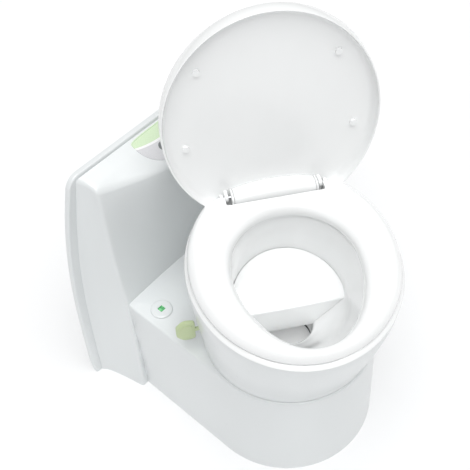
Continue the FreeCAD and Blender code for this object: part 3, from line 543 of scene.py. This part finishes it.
# ------------------------------------------------------------------ housing

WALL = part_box("wall_flange")
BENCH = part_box("bench_shell")
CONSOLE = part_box("console_shell")
WALL_FRONT = WALL[0].y
BENCH_TOP = BENCH[1].z
BENCH_HALF = -BENCH[0].y
BENCH_DRAFT = 0.010
TOP_SLOPE = 0.46
BEARING_HOLE = 0.140


def frame_half(height):
    """Half width of the wall frame at a height: bulged low down, narrowing to the top."""
    rise = max(0.0, (height - 0.100) / 0.480)
    foot = max(0.0, (0.040 - height) / 0.040)
    return WALL[1].x - 0.048 * rise ** 3 - 0.005 * foot


def console_half(height):
    """Half width of the console where it meets the wall frame."""
    rise = max(0.0, (height - 0.100) / 0.480)
    return 0.2255 - 0.046 * rise ** 2.7


def ridge(height):
    """Front corner of the console at a height, as x and y."""
    if height < BENCH_TOP:
        part = height / BENCH_TOP
        return 0.196 - 0.025 * part ** 0.8, 0.236 + 0.0335 * part
    part = (height - BENCH_TOP) / 0.313
    return 0.171 - 0.001 * part + 0.004 * math.sin(math.pi * min(part, 1)), 0.2695 + 0.0285 * part


def front_line(across, height):
    """How far back the console's front face is at a share of its half width."""
    _, corner = ridge(height)
    foot = corner + 0.0055 * (1 - across ** 2)
    brow = corner - 0.040 * (1 - across ** 1.35)
    part = min(1.0, max(0.0, (height - BENCH_TOP) / 0.30)) ** 1.3
    return foot + (brow - foot) * part


def top_height(y):
    """Height of the console's sloping top."""
    return CONSOLE[1].z - 0.001 - TOP_SLOPE * (WALL_FRONT - y)


def console_row(height, front_steps=40, side_steps=14):
    """Open outline of the console, right rear to left rear, at a height."""
    corner_x, corner_y = ridge(height)
    wide, deep = console_half(height), WALL_FRONT - 0.001 - corner_y
    trim = shape().ridge_round

    def side_at(part):
        flare = max(0.0, 1 - deep * part / 0.018) ** 2
        return Vector((wide + (corner_x - wide) * part - 0.002 * math.sin(math.pi * part)
                       + 0.005 * (flare + part - 1), WALL_FRONT - 0.001 - deep * part))

    def front_at(across):
        return Vector((corner_x * across, front_line(abs(across), height)))

    last_side = 1 - trim / math.hypot(deep, wide - corner_x)
    last_front = 1 - trim / corner_x
    side = [side_at(last_side * (1 - (1 - step / side_steps) ** 1.6)) for step in range(side_steps)]
    start, end = side_at(last_side), front_at(last_front)
    corner = Vector((corner_x, corner_y))
    for step in range(7):
        part = step / 7
        side.append(start * (1 - part) ** 2 + corner * 2 * part * (1 - part) + end * part ** 2)
    front = [front_at(last_front * (1 - 2 * step / front_steps)) for step in range(front_steps + 1)]
    return side + front + [Vector((-point.x, point.y)) for point in reversed(side)]


def brow_row(turn):
    """Outline of the console part-way round the soft edge of its sloping top."""
    radius = shape().brow_round
    inset, drop = radius * (1 - math.cos(turn)), radius * (1 - math.sin(turn))
    corner_x, corner_y = ridge(0.560)
    row = []
    for x, y in console_row(0.560):
        forward = min(1.0, max(0.0, (WALL_FRONT - 0.001 - y) / (WALL_FRONT - corner_y)))
        moved = y + inset * forward
        row.append(Vector((x * (1 - inset / corner_x), moved, top_height(moved) - drop)))
    return row


def build_console():
    """Console with a leaning front, a bowed brow and a sloping top."""
    bm = bmesh.new()
    rows = []
    for step in range(25):
        height = 0.528 * step / 24
        rows.append([bm.verts.new((x, y, height)) for x, y in console_row(height)])
    for step in range(7):
        rows.append([bm.verts.new(point) for point in brow_row(math.pi / 2 * step / 6)])
    for lower, upper in zip(rows, rows[1:]):
        pairs = [edge_between(bm, a, b) for row in (lower, upper) for a, b in zip(row, row[1:])]
        bmesh.ops.bridge_loops(bm, edges=pairs)
    top = rows[-1]
    rim = [edge_between(bm, a, b) for a, b in zip(top, top[1:])]
    rear = bm.edges.new((top[-1], top[0]))
    bmesh.ops.edgeloop_fill(bm, edges=rim + [rear])
    bmesh.ops.recalc_face_normals(bm, faces=bm.faces)
    top_face = max(bm.faces, key=lambda face: face.calc_area())
    if top_face.normal.z < 0:
        bmesh.ops.reverse_faces(bm, faces=bm.faces)
    return bm


def edge_between(bm, first, second):
    """The edge that joins two vertices, made if it isn't there."""
    return bm.edges.get((first, second)) or bm.edges.new((first, second))


def bench_point(angle, row):
    """Outline of the bench seen from above: round in front, straight at the sides."""
    shrink, height = row
    half = BENCH_HALF - BENCH_DRAFT * height / BENCH_TOP - shrink
    corner_x, corner_y = ridge(height)
    direction = Vector((math.cos(angle), math.sin(angle)))
    reach = half
    if direction.y > 0:
        across = min(1.0, abs(direction.x) * corner_y / (direction.y * corner_x))
        rear = front_line(across, height) + 0.004
        reach = min(half / max(abs(direction.x), 1e-6), rear / direction.y)
    return Vector((reach * direction.x, reach * direction.y, height))


def build_bench():
    """Bench shell: drafted sides, a rounded shoulder and a round hole for the bearing."""
    radius = 0.004
    rows = [(0.0, BENCH_TOP * step / 12) for step in range(12)]
    rows.append((0.0, BENCH_TOP - radius))
    for step in range(1, 6):
        turn = math.pi / 2 * step / 5
        rows.append((radius * (1 - math.cos(turn)), BENCH_TOP - radius * (1 - math.sin(turn))))

    def place(angle, row):
        if len(row) == 2:
            return bench_point(angle, row)
        reach, height, _ = row
        return Vector((reach * math.cos(angle), reach * math.sin(angle), height))

    hole = [(BEARING_HOLE + 0.0015, BENCH_TOP, 0), (BEARING_HOLE, BENCH_TOP - 0.0015, 0),
            (BEARING_HOLE, BENCH_TOP - 0.004, 0)]
    return lattice(rows + hole, place, segments=288)


def frame_outline():
    """Outline of the wall frame, right foot to left foot, at the wall."""
    corner = 0.030
    top = WALL[1].z
    side = [(frame_half(z), z) for z in [(top - corner) * step / 24 for step in range(25)]]
    x, z = side[-1]
    for step in range(1, 9):
        turn = math.radians(74) * step / 8 + math.radians(16)
        side.append((x - corner * 0.93 + corner * math.cos(turn) / math.cos(math.radians(16)) * 0.93,
                     z - 0.008 + (corner + 0.008) * math.sin(turn)))
    return side + [(-x, z) for x, z in reversed(side)]


def build_frame():
    """Wall frame with a rounded rim."""
    bm = slab([(x, WALL[1].y, z) for x, z in frame_outline()], (0, WALL_FRONT - WALL[1].y, 0))
    front = [face for face in bm.faces if face.normal.y < -0.9]
    rims = [edge for edge in front[0].edges if max(vert.co.z for vert in edge.verts) > 0.0005]
    bmesh.ops.bevel(bm, geom=rims, offset=0.0035, segments=4, profile=0.5, affect="EDGES",
                    clamp_overlap=True, material=-1)
    return bm


SCREW_RADIUS = 0.0026
SCREW_SKIN = 0.002


def frame_cuts():
    """Tank opening, service window and the screws' blind holes from behind."""
    windows = [block((-0.157, 0.3, 0.003), (0.157, 0.4, 0.236), 0.008, 3, level),
               block((-0.140, 0.3, 0.260), (0.140, 0.4, 0.540), 0.012, 4, level)]
    low, high = WALL_FRONT + SCREW_SKIN, WALL[1].y + 0.01
    long = (high - low) / 2
    profile = [(0, -long), (SCREW_RADIUS, -long), (SCREW_RADIUS, long), (0, long)]
    holes = [lathe(profile, 24, "Y", (side * 0.233, (low + high) / 2, height))
             for side in (1, -1) for height in (0.06, 0.28)]
    return windows + holes


PANEL_TILT = Matrix.Rotation(math.atan(TOP_SLOPE), 4, "X")
PANEL_PLACE = Matrix.Translation((0, 0.300, top_height(0.300))) @ PANEL_TILT


def panel_point(angle, row):
    """Panel outline: straight along the top edge, a deep curve below."""
    inset, height = row
    across, along = math.cos(angle), math.sin(angle)
    if along < 0:
        return Vector(((0.059 - inset) * across, 0.021 + (0.058 - inset) * along, height))
    box = abs(along) ** 0.45
    return Vector(((0.059 - inset) * (1 - (1 - abs(across)) ** 1.6) * (1 if across > 0 else -1),
                   0.021 + (0.0145 - inset) * box, height))


def build_panel():
    """Panel with a raised border round its printed face."""
    rows = [(0.0, -0.0006), (0.0, 0.0010), (0.0005, 0.0015), (0.0018, 0.0015), (0.0024, 0.0010),
            (0.0026, 0.0004), (0.0144, 0.0004)]
    return lattice(rows, panel_point, segments=120, caps=(-1,))


# ------------------------------------------------------------------ bowl

RIM = local_box("bowl_rim")
SEAT = local_box("seat_ring")
LID = local_box("lid_panel", OPENED)
CASING = local_box("bowl_shell")
BAR = local_box("hinge_bar")
BACK = RIM[1].y
RIM_WIDE = RIM[1].x
RIM_LOW, RIM_TOP = RIM[0].z, RIM[1].z
SCOOP_ANGLE = math.radians(163)
SCOOP_AXIS = Vector((math.cos(SCOOP_ANGLE), math.sin(SCOOP_ANGLE))) * 0.178
SCOOP_LOW, SCOOP_HIGH = 0.262, 0.420
SCOOP_WIDE, SCOOP_TIP = 0.062, 0.006


def scoop_depth(point, reach):
    """Distance from the swivel axis at which the lever's scoop ends the casing."""
    if not SCOOP_LOW < point.z < SCOOP_HIGH + 0.012:
        return reach
    part = (point.z - SCOOP_LOW) / (SCOOP_HIGH - SCOOP_LOW)
    radius = max(0.0005, SCOOP_WIDE + (SCOOP_TIP - SCOOP_WIDE) * part)
    direction = Vector((point.x, point.y)).normalized()
    along = direction.dot(SCOOP_AXIS)
    if along < 0:
        return reach
    aside = abs(direction.cross(SCOOP_AXIS))
    soft = 0.003
    if aside >= radius + soft:
        return reach
    if aside >= radius:
        share = (aside - radius) / soft
        return min(reach, along + (reach - along) * (3 * share ** 2 - 2 * share ** 3))
    return min(reach, along - math.sqrt(radius ** 2 - aside ** 2))


def casing_point(angle, row):
    """Outline of the casing, pushed in by its wall and the scoop."""
    *outline, inset = row
    point = oval(angle, outline, BACK)
    flat = Vector((point.x, point.y))
    reach = scoop_depth(point, flat.length)
    if part_floor(point.z) and reach < flat.length:
        share = part_floor(point.z)
        reach = flat.length + (reach - flat.length) * share
    flat = flat.normalized() * (reach - inset)
    return Vector((flat.x, flat.y, point.z))


def part_floor(height):
    """How fully the scoop is cut at a height, from nothing at its sill to all above it."""
    return min(1.0, max(0.0, (height - SCOOP_LOW) / 0.002))


def build_casing():
    """Outer wall of the bowl: a doubled skin from the foot up to the rim."""
    centre = shape().bowl_centre
    low = CASING[0].z
    key = [
        (0.1670, 0.1660, 0.0, low), (0.1680, 0.1670, 0.0, low + 0.0015),
        (0.1695, 0.1678, -0.001, 0.2615), (0.1696, 0.1679, -0.001, 0.2622),
        (0.1700, 0.1682, -0.0015, 0.2645), (0.1735, 0.1695, -0.003, 0.280),
        (0.1840, 0.1740, -0.008, 0.320), (0.1945, 0.1790, -0.012, 0.360),
        (0.2030, 0.1830, -0.015, 0.400), (0.2120, 0.1880, centre, 0.445),
        (0.2145, 0.1890, centre, RIM_LOW - 0.0005),
    ]
    outer = [row + (0.0,) for row in smooth_rows(key, 6)]
    wall = shape().shell_wall
    inner = [row[:4] + (wall,) for row in reversed(outer)]
    return lattice(outer + inner, casing_point, closed=True, segments=480)


def lever_slot():
    """Wedge that clears the lever's stem over its swing."""
    low, high = 0.2925, 0.3075
    points = []
    for reach, turns in ((0.120, range(0, 9)), (0.215, range(8, -1, -1))):
        for step in turns:
            angle = math.radians(151 + 32 * step / 8)
            points.append((reach * math.cos(angle), reach * math.sin(angle), low))
    return slab(points, (0, 0, high - low), 0.003, 3)


def build_basin():
    """Rim and inner bowl in one moulding, with the funnel down to the throat."""
    long, wide, centre = shape().bowl_centre - RIM[0].y, RIM_WIDE, shape().bowl_centre
    outside = [
        (0.050, 0.050, 0, 0.2105), (0.050, 0.050, 0, 0.258), (0.1120, 0.1120, 0, 0.330),
        (0.1415, 0.1195, -0.032, 0.400), (0.1610, 0.1245, -0.061, RIM_LOW),
    ]
    rim = [(long - inset, wide - inset, centre, RIM_TOP - drop) for inset, drop in (
        (0.0050, 0.0080), (0.0006, 0.0080), (0.0, 0.0072), (0.0004, 0.0062), (0.0014, 0.0047),
        (0.0029, 0.0032), (0.0046, 0.0018), (0.0070, 0.0007), (0.0100, 0.0))]
    mouth = [(0.1655, 0.1285, -0.0622, RIM_TOP), (0.1620, 0.1250, -0.0620, RIM_TOP - 0.0006),
             (0.1590, 0.1220, -0.0615, RIM_TOP - 0.0030)]
    inside = smooth_rows([
        (0.1570, 0.1205, -0.061, RIM_TOP - 0.008), (0.1510, 0.1195, -0.052, 0.440),
        (0.1375, 0.1160, -0.032, 0.400), (0.1215, 0.1115, -0.012, 0.360),
        (0.1070, 0.1070, 0, 0.330), (0.0840, 0.0840, 0, 0.300), (0.0590, 0.0590, 0, 0.272),
        (0.0475, 0.0475, 0, 0.256), (0.0465, 0.0465, 0, 0.2105),
    ], 4)

    def place(angle, row):
        return oval(angle, row, BACK if row[3] >= RIM_LOW - 0.001 else None, 0.006)
    return lattice(outside + rim + mouth + inside, place, closed=True)


def shelf_top(y, front):
    """Height of the tilted shelf's top."""
    return shape().shelf_front + (y - front) * math.tan(math.radians(14.6))


def build_shelf():
    """Shelf that follows the basin's round back, tilted, with a step down in front."""
    front = local_box("bowl_shelf")[0].y + 0.005
    reach, count, bow = 0.1082, 48, 12
    start = math.asin(front / reach)
    ring = []
    for step in range(count + 1):
        angle = start + (math.pi - 2 * start) * step / count
        ring.append((reach * math.cos(angle), reach * math.sin(angle)))
    right, left = ring[0], ring[-1]
    for step in range(1, bow):
        part = step / bow
        ring.append((left[0] + (right[0] - left[0]) * part, front))
    bm = slab([(x, y, shelf_top(y, front) - 0.004) for x, y in ring], (0, 0, 0.004))
    half = [(0.0455, 0.2565), (0.0560, 0.270), (0.0830, 0.300), (0.1055, shape().shelf_front - 0.001)]
    outline = [(x, front + 0.0012, z) for x, z in half] + [(-x, front + 0.0012, z)
                                                         for x, z in reversed(half)]
    step_face = slab(outline, (0, 0.004, 0))
    lip = [edge for edge in bm.edges if all(vert.co.y < front + 0.0005 for vert in edge.verts)
           and all(vert.co.z > shape().shelf_front - 0.0005 for vert in edge.verts)]
    bmesh.ops.bevel(bm, geom=lip, offset=0.003, segments=4, profile=0.5, affect="EDGES",
                    clamp_overlap=True, material=-1)
    return joined(bm, step_face)


def seat_point(angle, row):
    """Between the seat's outer outline, at share 0, and the hole's edge, at share 1."""
    look = shape()
    share, height = row
    long, wide = look.bowl_centre - SEAT[0].y - look.seat_inset, SEAT[1].x - look.seat_inset
    outer = oval(angle, (long, wide, look.bowl_centre, 0), SEAT[1].y - 0.001, 0.006)
    hole = oval(angle, (look.hole_long, look.hole_wide, look.hole_centre, 0), None, 0.006,
                look.hole_egg)
    point = outer.lerp(hole, share)
    point.z = height
    return point


def build_seat():
    """Thick rounded seat ring with an egg-shaped hole and a deep inner wall."""
    low, high = SEAT[0].z, SEAT[1].z
    rows = [(0.060, low + 0.0010), (0.026, low), (0.012, low + 0.0006), (0.003, low + 0.0022),
            (0.0, low + 0.0048)]
    for step in range(1, 9):
        turn = math.pi / 2 * step / 8
        rows.append((0.26 * (1 - math.cos(turn)), low + 0.0048 + 0.0186 * math.sin(turn)))
    rows += [(0.36, high - 0.0002), (0.48, high), (0.58, high - 0.0003)]
    for step in range(1, 9):
        turn = math.pi / 2 * step / 8
        rows.append((0.64 + 0.36 * math.sin(turn), high - 0.0006 - 0.0210 * (1 - math.cos(turn))))
    rows += [(1.0, low - 0.0015), (0.992, low - 0.0030), (0.975, low - 0.0022),
             (0.955, low + 0.0010), (0.90, low + 0.0030)]
    return lattice(rows, seat_point, closed=True)


POCKET_HALF = 0.0915
SEAT_EYE = (0.0932, 0.0998)
LID_EYE = (0.0842, 0.0908)


def seat_pocket():
    """Room in the seat for the hinge cover."""
    front = HINGE.y - shape().bar_front - 0.0022
    return block((-POCKET_HALF, front, SEAT[0].z - 0.03), (POCKET_HALF, 0.2, SEAT[1].z + 0.03),
                 0.004, 4, upright)


def lid_point(angle, row):
    """Outline of the lid drawn in towards its middle."""
    share, height = row
    centre = shape().bowl_centre
    long, wide = centre - LID[0].y, LID[1].x
    point = oval(angle, (long, wide, centre, 0), LID[1].y, 0.010)
    middle = Vector((0, centre, 0))
    point = middle + (point - middle) * share
    point.z = height
    return point


def build_lid():
    """Dished lid: flat middle, wide sloping border and a rounded lip."""
    low, high = LID[0].z, LID[1].z
    outside = [(0.05, high), (0.40, high), (0.70, high - 0.0001), (0.84, high - 0.0007),
               (0.92, high - 0.0022), (0.965, high - 0.0048), (0.987, high - 0.0080),
               (0.9965, high - 0.0115), (1.0, high - 0.0145), (0.9985, low + 0.0012),
               (0.9945, low + 0.0002)]
    inside = [(0.9890, low), (0.9850, low + 0.0008), (0.9820, low + 0.0030),
              (0.9780, low + 0.0072), (0.9710, low + 0.0115), (0.9600, low + 0.0148),
              (0.9450, low + 0.0170), (0.9200, low + 0.0186), (0.8900, low + 0.0198),
              (0.8500, low + 0.0210), (0.8000, low + 0.0219), (0.7400, low + 0.0223),
              (0.5000, low + 0.0225), (0.05, low + 0.0225)]
    return lattice(outside + inside, lid_point, segments=216, caps=(0, -1))


def bar_section(share):
    """Section of the hinge cover as (y, z) corners at a share of its half length."""
    low, high = BAR
    bow = 1 - share ** 2
    front = HINGE.y - shape().bar_front
    radius = 0.0150 + 0.0085 * bow
    top = high.z - 0.0025 + 0.0045 * bow
    points = [(front + 0.0016, low.z + 0.0005), (front + 0.0002, low.z + 0.0040),
              (front, low.z + 0.0190), (front + 0.0006, top - 0.0095),
              (front + 0.0026, top - 0.0052), (front + 0.0062, top - 0.0022),
              (front + 0.0110, top - 0.0005), (front + 0.0160, top)]
    for turn in range(8):
        angle = math.radians(88 - 22 * turn)
        points.append((HINGE.y + radius * math.cos(angle),
                       min(HINGE.z + radius * math.sin(angle), top)))
    points.append((HINGE.y - 0.004, low.z + 0.0005))
    return [(y, max(z, low.z + 0.0005)) for y, z in points]


def bar_piece(start, end, grow=0.0, stations=24):
    """Length of the hinge cover between two places across."""
    bm = bmesh.new()
    rings = []
    for step in range(stations + 1):
        x = start + (end - start) * step / stations
        section = bar_section(min(1.0, abs(x) / BAR[1].x))
        middle = (HINGE.y - 0.008, HINGE.z - 0.004)
        verts = [bm.verts.new((x, y + grow * (1 if y > middle[0] else -1),
                               z + grow * (1 if z > middle[1] else 0))) for y, z in section]
        rings.append([edge_between(bm, a, b) for a, b in zip(verts, verts[1:] + verts[:1])])
    for left, right in zip(rings, rings[1:]):
        bmesh.ops.bridge_loops(bm, edges=left + right)
    for end_ring in (rings[0], rings[-1]):
        bmesh.ops.edgeloop_fill(bm, edges=end_ring)
    bmesh.ops.recalc_face_normals(bm, faces=bm.faces)
    ends = [edge for ring in (rings[0], rings[-1]) for edge in ring if edge.is_valid]
    bmesh.ops.bevel(bm, geom=ends, offset=0.0009, segments=2, profile=0.5, affect="EDGES",
                    clamp_overlap=True, material=-1)
    return bm


EYE_RADIUS, EYE_BORE, EYE_CHAMFER = 0.0078, 0.0032, 0.0008


def eye(inner, outer, side):
    """Round hinge eye about the axis, on one side of the bowl."""
    half = (outer - inner) / 2
    profile = [(EYE_BORE, -half), (EYE_RADIUS - EYE_CHAMFER, -half),
               (EYE_RADIUS, EYE_CHAMFER - half), (EYE_RADIUS, half - EYE_CHAMFER),
               (EYE_RADIUS - EYE_CHAMFER, half), (EYE_BORE, half)]
    return lathe(profile, 40, "X", (side * (inner + outer) / 2, HINGE.y, HINGE.z), closed=True)


def web(inner, outer, side, low, high):
    """Rounded block between a hinge eye and what it carries; low and high are (y, z)."""
    ends = sorted((side * inner, side * outer))
    return block((ends[0], low[0], low[1]), (ends[1], high[0], high[1]), 0.0012, 2)


# ------------------------------------------------------------------ lever and gauge

def paddle_plate(share, half_thick, round_corner, round_face):
    """Rounded plate of the lever grip's outline, at a share of its size."""
    low, high = local_box("lever_paddle")
    long = high.x - low.x + 0.008
    tall = (high.z - low.z) / 2 + 0.009
    middle = Vector((high.x - long / 2, (low.y + high.y) / 2, (low.z + high.z) / 2))
    corners = [(-0.50, 0.45), (-0.16, 0.94), (0.10, 1.0), (0.50, 0.86)]
    points = [(middle.x + long * share * x, middle.y - half_thick, middle.z + tall * share * z)
              for x, z in corners + [(x, -z) for x, z in reversed(corners)]]
    bm = slab(points, (0, 2 * half_thick, 0))
    sides = [edge for edge in bm.edges
             if abs(edge.verts[0].co.y - edge.verts[1].co.y) > half_thick]
    bmesh.ops.bevel(bm, geom=sides, offset=round_corner, segments=5, profile=0.5,
                    affect="EDGES", clamp_overlap=True, material=-1)
    rims = [edge for edge in bm.edges if len(edge.link_faces) == 2
            and edge.calc_face_angle(0) > 1.2]
    bmesh.ops.bevel(bm, geom=rims, offset=round_face, segments=3, profile=0.5, affect="EDGES",
                    clamp_overlap=True, material=-1)
    return bm


def build_paddle():
    """Lever grip: a rounded wedge plate with a raised pad on both faces."""
    low, high = local_box("lever_paddle")
    half = (high.y - low.y) / 2
    return joined(paddle_plate(1.0, half - 0.0008, 0.005, 0.0018),
                  paddle_plate(0.70, half, 0.0035, 0.0007))


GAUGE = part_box("gauge_housing")
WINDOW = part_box("gauge_window")


def build_gauge():
    """Round cap of the level gauge with a bevelled edge and a square window."""
    middle = (GAUGE[0] + GAUGE[1]) / 2
    radius, top = GAUGE[1].x - middle.x, GAUGE[1].z
    profile = [(0.0001, BENCH_TOP + 0.0002), (radius - 0.0004, BENCH_TOP + 0.0002),
               (radius, BENCH_TOP + 0.0008), (radius - 0.0002, top - 0.0018),
               (radius - 0.0010, top - 0.0008), (radius - 0.0024, top - 0.0002),
               (radius - 0.0045, top), (0.0001, top)]
    return lathe(profile, 96, "Z", (middle.x, middle.y, 0))


def window_well():
    """Square opening over the gauge's dial."""
    return block((WINDOW[0].x, WINDOW[0].y, BENCH_TOP - 0.004),
                 (WINDOW[1].x, WINDOW[1].y, GAUGE[1].z + 0.01), 0.001, 2, upright)


# ------------------------------------------------------------------ operators

class ToiletOperator:
    bl_options = {"REGISTER", "UNDO"}

    def execute(self, context):
        self.build()
        return {"FINISHED"}


class TOILET_OT_console(ToiletOperator, bpy.types.Operator):
    """Console that stands against the wall behind the bowl"""
    bl_idname = "toilet.console"
    bl_label = "Console"

    def build(self):
        piece("console_cover", build_console(), "white_shell", "housing", ("console_shell",),
              wall=shape().shell_wall, sharp=50, outward=False)


class TOILET_OT_panel(ToiletOperator, bpy.types.Operator):
    """Printed control panel on the console's top"""
    bl_idname = "toilet.control_panel"
    bl_label = "Control panel"

    def build(self):
        piece("panel_face", build_panel(), "panel_green", "housing",
              ("control_panel", "panel_overlay"), place=PANEL_PLACE, look="panel_print", sharp=30)


class TOILET_OT_frame(ToiletOperator, bpy.types.Operator):
    """Frame that is screwed to the wall"""
    bl_idname = "toilet.wall_frame"
    bl_label = "Wall frame"

    def build(self):
        piece("wall_frame", build_frame(), "white_shell", "housing", ("wall_flange",),
              cuts=frame_cuts(), sharp=35)


class TOILET_OT_bench(ToiletOperator, bpy.types.Operator):
    """Bench shell with its shoulder and bearing hole, and the level gauge"""
    bl_idname = "toilet.bench"
    bl_label = "Bench"

    def build(self):
        piece("bench_cover", build_bench(), "white_shell", "housing", ("bench_shell",),
              wall=shape().shell_wall, sharp=35)
        piece("gauge_cap", build_gauge(), "white_shell", "housing", ("gauge_housing",),
              cuts=(window_well(),), sharp=35)


class TOILET_OT_casing(ToiletOperator, bpy.types.Operator):
    """Outer wall of the bowl, with the lever's scoop"""
    bl_idname = "toilet.casing"
    bl_label = "Bowl casing"

    def build(self):
        piece("bowl_casing", build_casing(), "white_shell", "bowl", ("bowl_shell", "lever_scoop"),
              place=TURN, cuts=(lever_slot(),), sharp=35)
        piece("lever_grip", build_paddle(), "lever_green", "lever", ("lever_paddle",), place=TURN,
              sharp=35)


class TOILET_OT_basin(ToiletOperator, bpy.types.Operator):
    """Rim, inner bowl and shelf"""
    bl_idname = "toilet.basin"
    bl_label = "Inner bowl"

    def build(self):
        piece("inner_bowl", build_basin(), "white_bowl", "bowl",
              ("bowl_rim", "bowl_liner", "bowl_funnel"), place=TURN, sharp=60)
        piece("basin_shelf", build_shelf(), "white_bowl", "bowl", ("bowl_shelf",), place=TURN)


class TOILET_OT_seat(ToiletOperator, bpy.types.Operator):
    """Seat ring with its hinge eyes"""
    bl_idname = "toilet.seat"
    bl_label = "Seat"

    def build(self):
        piece("seat", build_seat(), "white_seat", "seat", ("seat_ring",), place=TURN, sharp=50,
              cuts=(seat_pocket(),))
        eyes = [joined(eye(*SEAT_EYE, side),
                       web(*SEAT_EYE, side, (0.115, HINGE.z - 0.0072),
                           (HINGE.y - 0.003, HINGE.z + 0.0066))) for side in (1, -1)]
        piece("seat_eyes", joined(*eyes), "white_seat", "seat", place=TURN, sharp=50,
              outward=False)


class TOILET_OT_lid(ToiletOperator, bpy.types.Operator):
    """Dished lid, drawn closed and swung open"""
    bl_idname = "toilet.lid"
    bl_label = "Lid"

    def build(self):
        piece("lid", build_lid(), "white_seat", "lid", ("lid_panel",), place=OPENED, sharp=50)
        eyes = [joined(eye(*LID_EYE, side),
                       web(*LID_EYE, side, (HINGE.y - 0.0072, HINGE.z),
                           (HINGE.y + 0.0072, LID[1].z - 0.003))) for side in (1, -1)]
        piece("lid_eyes", joined(*eyes), "white_seat", "lid", place=OPENED, sharp=50,
              outward=False)


class TOILET_OT_hinge(ToiletOperator, bpy.types.Operator):
    """Hinge cover bar with a cheek at each end"""
    bl_idname = "toilet.hinge"
    bl_label = "Hinge cover"

    def build(self):
        half = BAR[1].x
        bar = joined(bar_piece(-half + 0.0045, half - 0.0045),
                     bar_piece(half - 0.0036, half, 0.0006, 2),
                     bar_piece(-half, -half + 0.0036, 0.0006, 2))
        piece("hinge_cover", bar, "white_seat", "bowl", ("hinge_bar",), place=TURN, sharp=50,
              outward=False)


# Parts whose finish differs from their slot's; the valve blade's finish glows with painted light.
LOOKS = {"valve_blade": "blade", "feed_pipe": "white_bowl", "lever_arm": "lever_green"}


class TOILET_OT_finishes(ToiletOperator, bpy.types.Operator):
    """Give every carried-over part its own finish"""
    bl_idname = "toilet.finishes"
    bl_label = "Finishes"

    def build(self):
        for row in frame["record"]["subparts"]:
            node = frame["nodes"][row["node"]]
            node.data.materials.clear()
            look = LOOKS.get(row["node"], row["material_slot"])
            node.data.materials.append(material(look))


class TOILET_OT_stage(ToiletOperator, bpy.types.Operator):
    """Pale floor, soft studio light and the camera"""
    bl_idname = "toilet.stage"
    bl_label = "Stage"

    def build(self):
        bm = bmesh.new()
        bmesh.ops.create_grid(bm, x_segments=1, y_segments=1, size=40)
        mesh = bpy.data.meshes.new("floor")
        bm.to_mesh(mesh)
        bm.free()
        floor = bpy.data.objects.new("floor", mesh)
        bpy.context.scene.collection.objects.link(floor)
        pale, tree, shader = new_material("pale_floor", (0.68, 0.685, 0.69), 0.7,
                                            Emission_Color=(1, 1, 1, 1), Emission_Strength=0.22)
        mesh.materials.append(pale)
        world = bpy.data.worlds.new("studio")
        world.use_nodes = True
        sky = world.node_tree.nodes["Background"]
        sky.inputs["Color"].default_value = (1.0, 1.0, 1.0, 1)
        sky.inputs["Strength"].default_value = 0.27
        bpy.context.scene.world = world
        soft_sun("overhead", (-0.12, -0.16, 1.0), 2.45, 55)
        soft_sun("fill", (-0.46, -0.42, 0.78), 0.55, 25)
        bpy.context.scene.view_settings.view_transform = "Standard"
        aim_camera()


def soft_sun(name, towards, strength, spread):
    """Wide soft light from one side of the sky."""
    light = bpy.data.lights.new(name, "SUN")
    light.energy = strength
    light.angle = math.radians(spread)
    lamp = bpy.data.objects.new(name, light)
    lamp.rotation_mode = "QUATERNION"
    lamp.rotation_quaternion = Vector(towards).to_track_quat("Z", "Y")
    bpy.context.scene.collection.objects.link(lamp)


CAMERA = {"azimuth": -47.69, "elevation": 51.39, "roll": -0.92, "distance": 1.581,
          "target": (-0.0494, 0.0545, 0.5284), "lens": 70.92, "shift": (-0.0293, 0.0037)}


def aim_camera():
    """Camera on the bowl's front left, looking down."""
    azimuth, height = math.radians(CAMERA["azimuth"]), math.radians(CAMERA["elevation"])
    back = Vector((math.sin(azimuth) * math.cos(height), -math.cos(azimuth) * math.cos(height),
                   math.sin(height)))
    level = (-back).cross(Vector((0, 0, 1))).normalized()
    above = level.cross(-back)
    roll = math.radians(CAMERA["roll"])
    right = level * math.cos(roll) + above * math.sin(roll)
    up = above * math.cos(roll) - level * math.sin(roll)
    data = bpy.data.cameras.new("camera")
    data.lens = CAMERA["lens"]
    data.sensor_width = 36
    data.shift_x, data.shift_y = CAMERA["shift"]
    data.clip_end = 60
    camera = bpy.data.objects.new("camera", data)
    place = Vector(CAMERA["target"]) + back * CAMERA["distance"]
    turn = Matrix((right, up, back)).transposed().to_4x4()
    camera.matrix_world = Matrix.Translation(place) @ turn
    bpy.context.scene.collection.objects.link(camera)
    bpy.context.scene.camera = camera


class TOILET_PT_panel(bpy.types.Panel):
    """Sidebar panel that lists the pieces"""
    bl_label = "Cassette toilet"
    bl_idname = "TOILET_PT_panel"
    bl_space_type = "VIEW_3D"
    bl_region_type = "UI"
    bl_category = "Toilet"

    def draw(self, context):
        for operator in BUILD_ORDER:
            self.layout.operator(operator.bl_idname)


BUILD_ORDER = (
    TOILET_OT_stage,
    TOILET_OT_finishes,
    TOILET_OT_frame,
    TOILET_OT_console,
    TOILET_OT_panel,
    TOILET_OT_bench,
    TOILET_OT_casing,
    TOILET_OT_basin,
    TOILET_OT_seat,
    TOILET_OT_lid,
    TOILET_OT_hinge,
)
CLASSES = (ToiletShape, ToiletFinish) + BUILD_ORDER + (TOILET_PT_panel,)


def register():
    for entry in CLASSES:
        bpy.utils.register_class(entry)
    bpy.types.Scene.toilet_shape = PointerProperty(type=ToiletShape)
    bpy.types.Scene.toilet_finish = PointerProperty(type=ToiletFinish)


def unregister():
    del bpy.types.Scene.toilet_finish
    del bpy.types.Scene.toilet_shape
    for entry in reversed(CLASSES):
        bpy.utils.unregister_class(entry)


def main():
    register()
    for operator in BUILD_ORDER:
        group, name = operator.bl_idname.split(".")
        getattr(getattr(bpy.ops, group), name)()


if __name__ == "__main__":
    main()
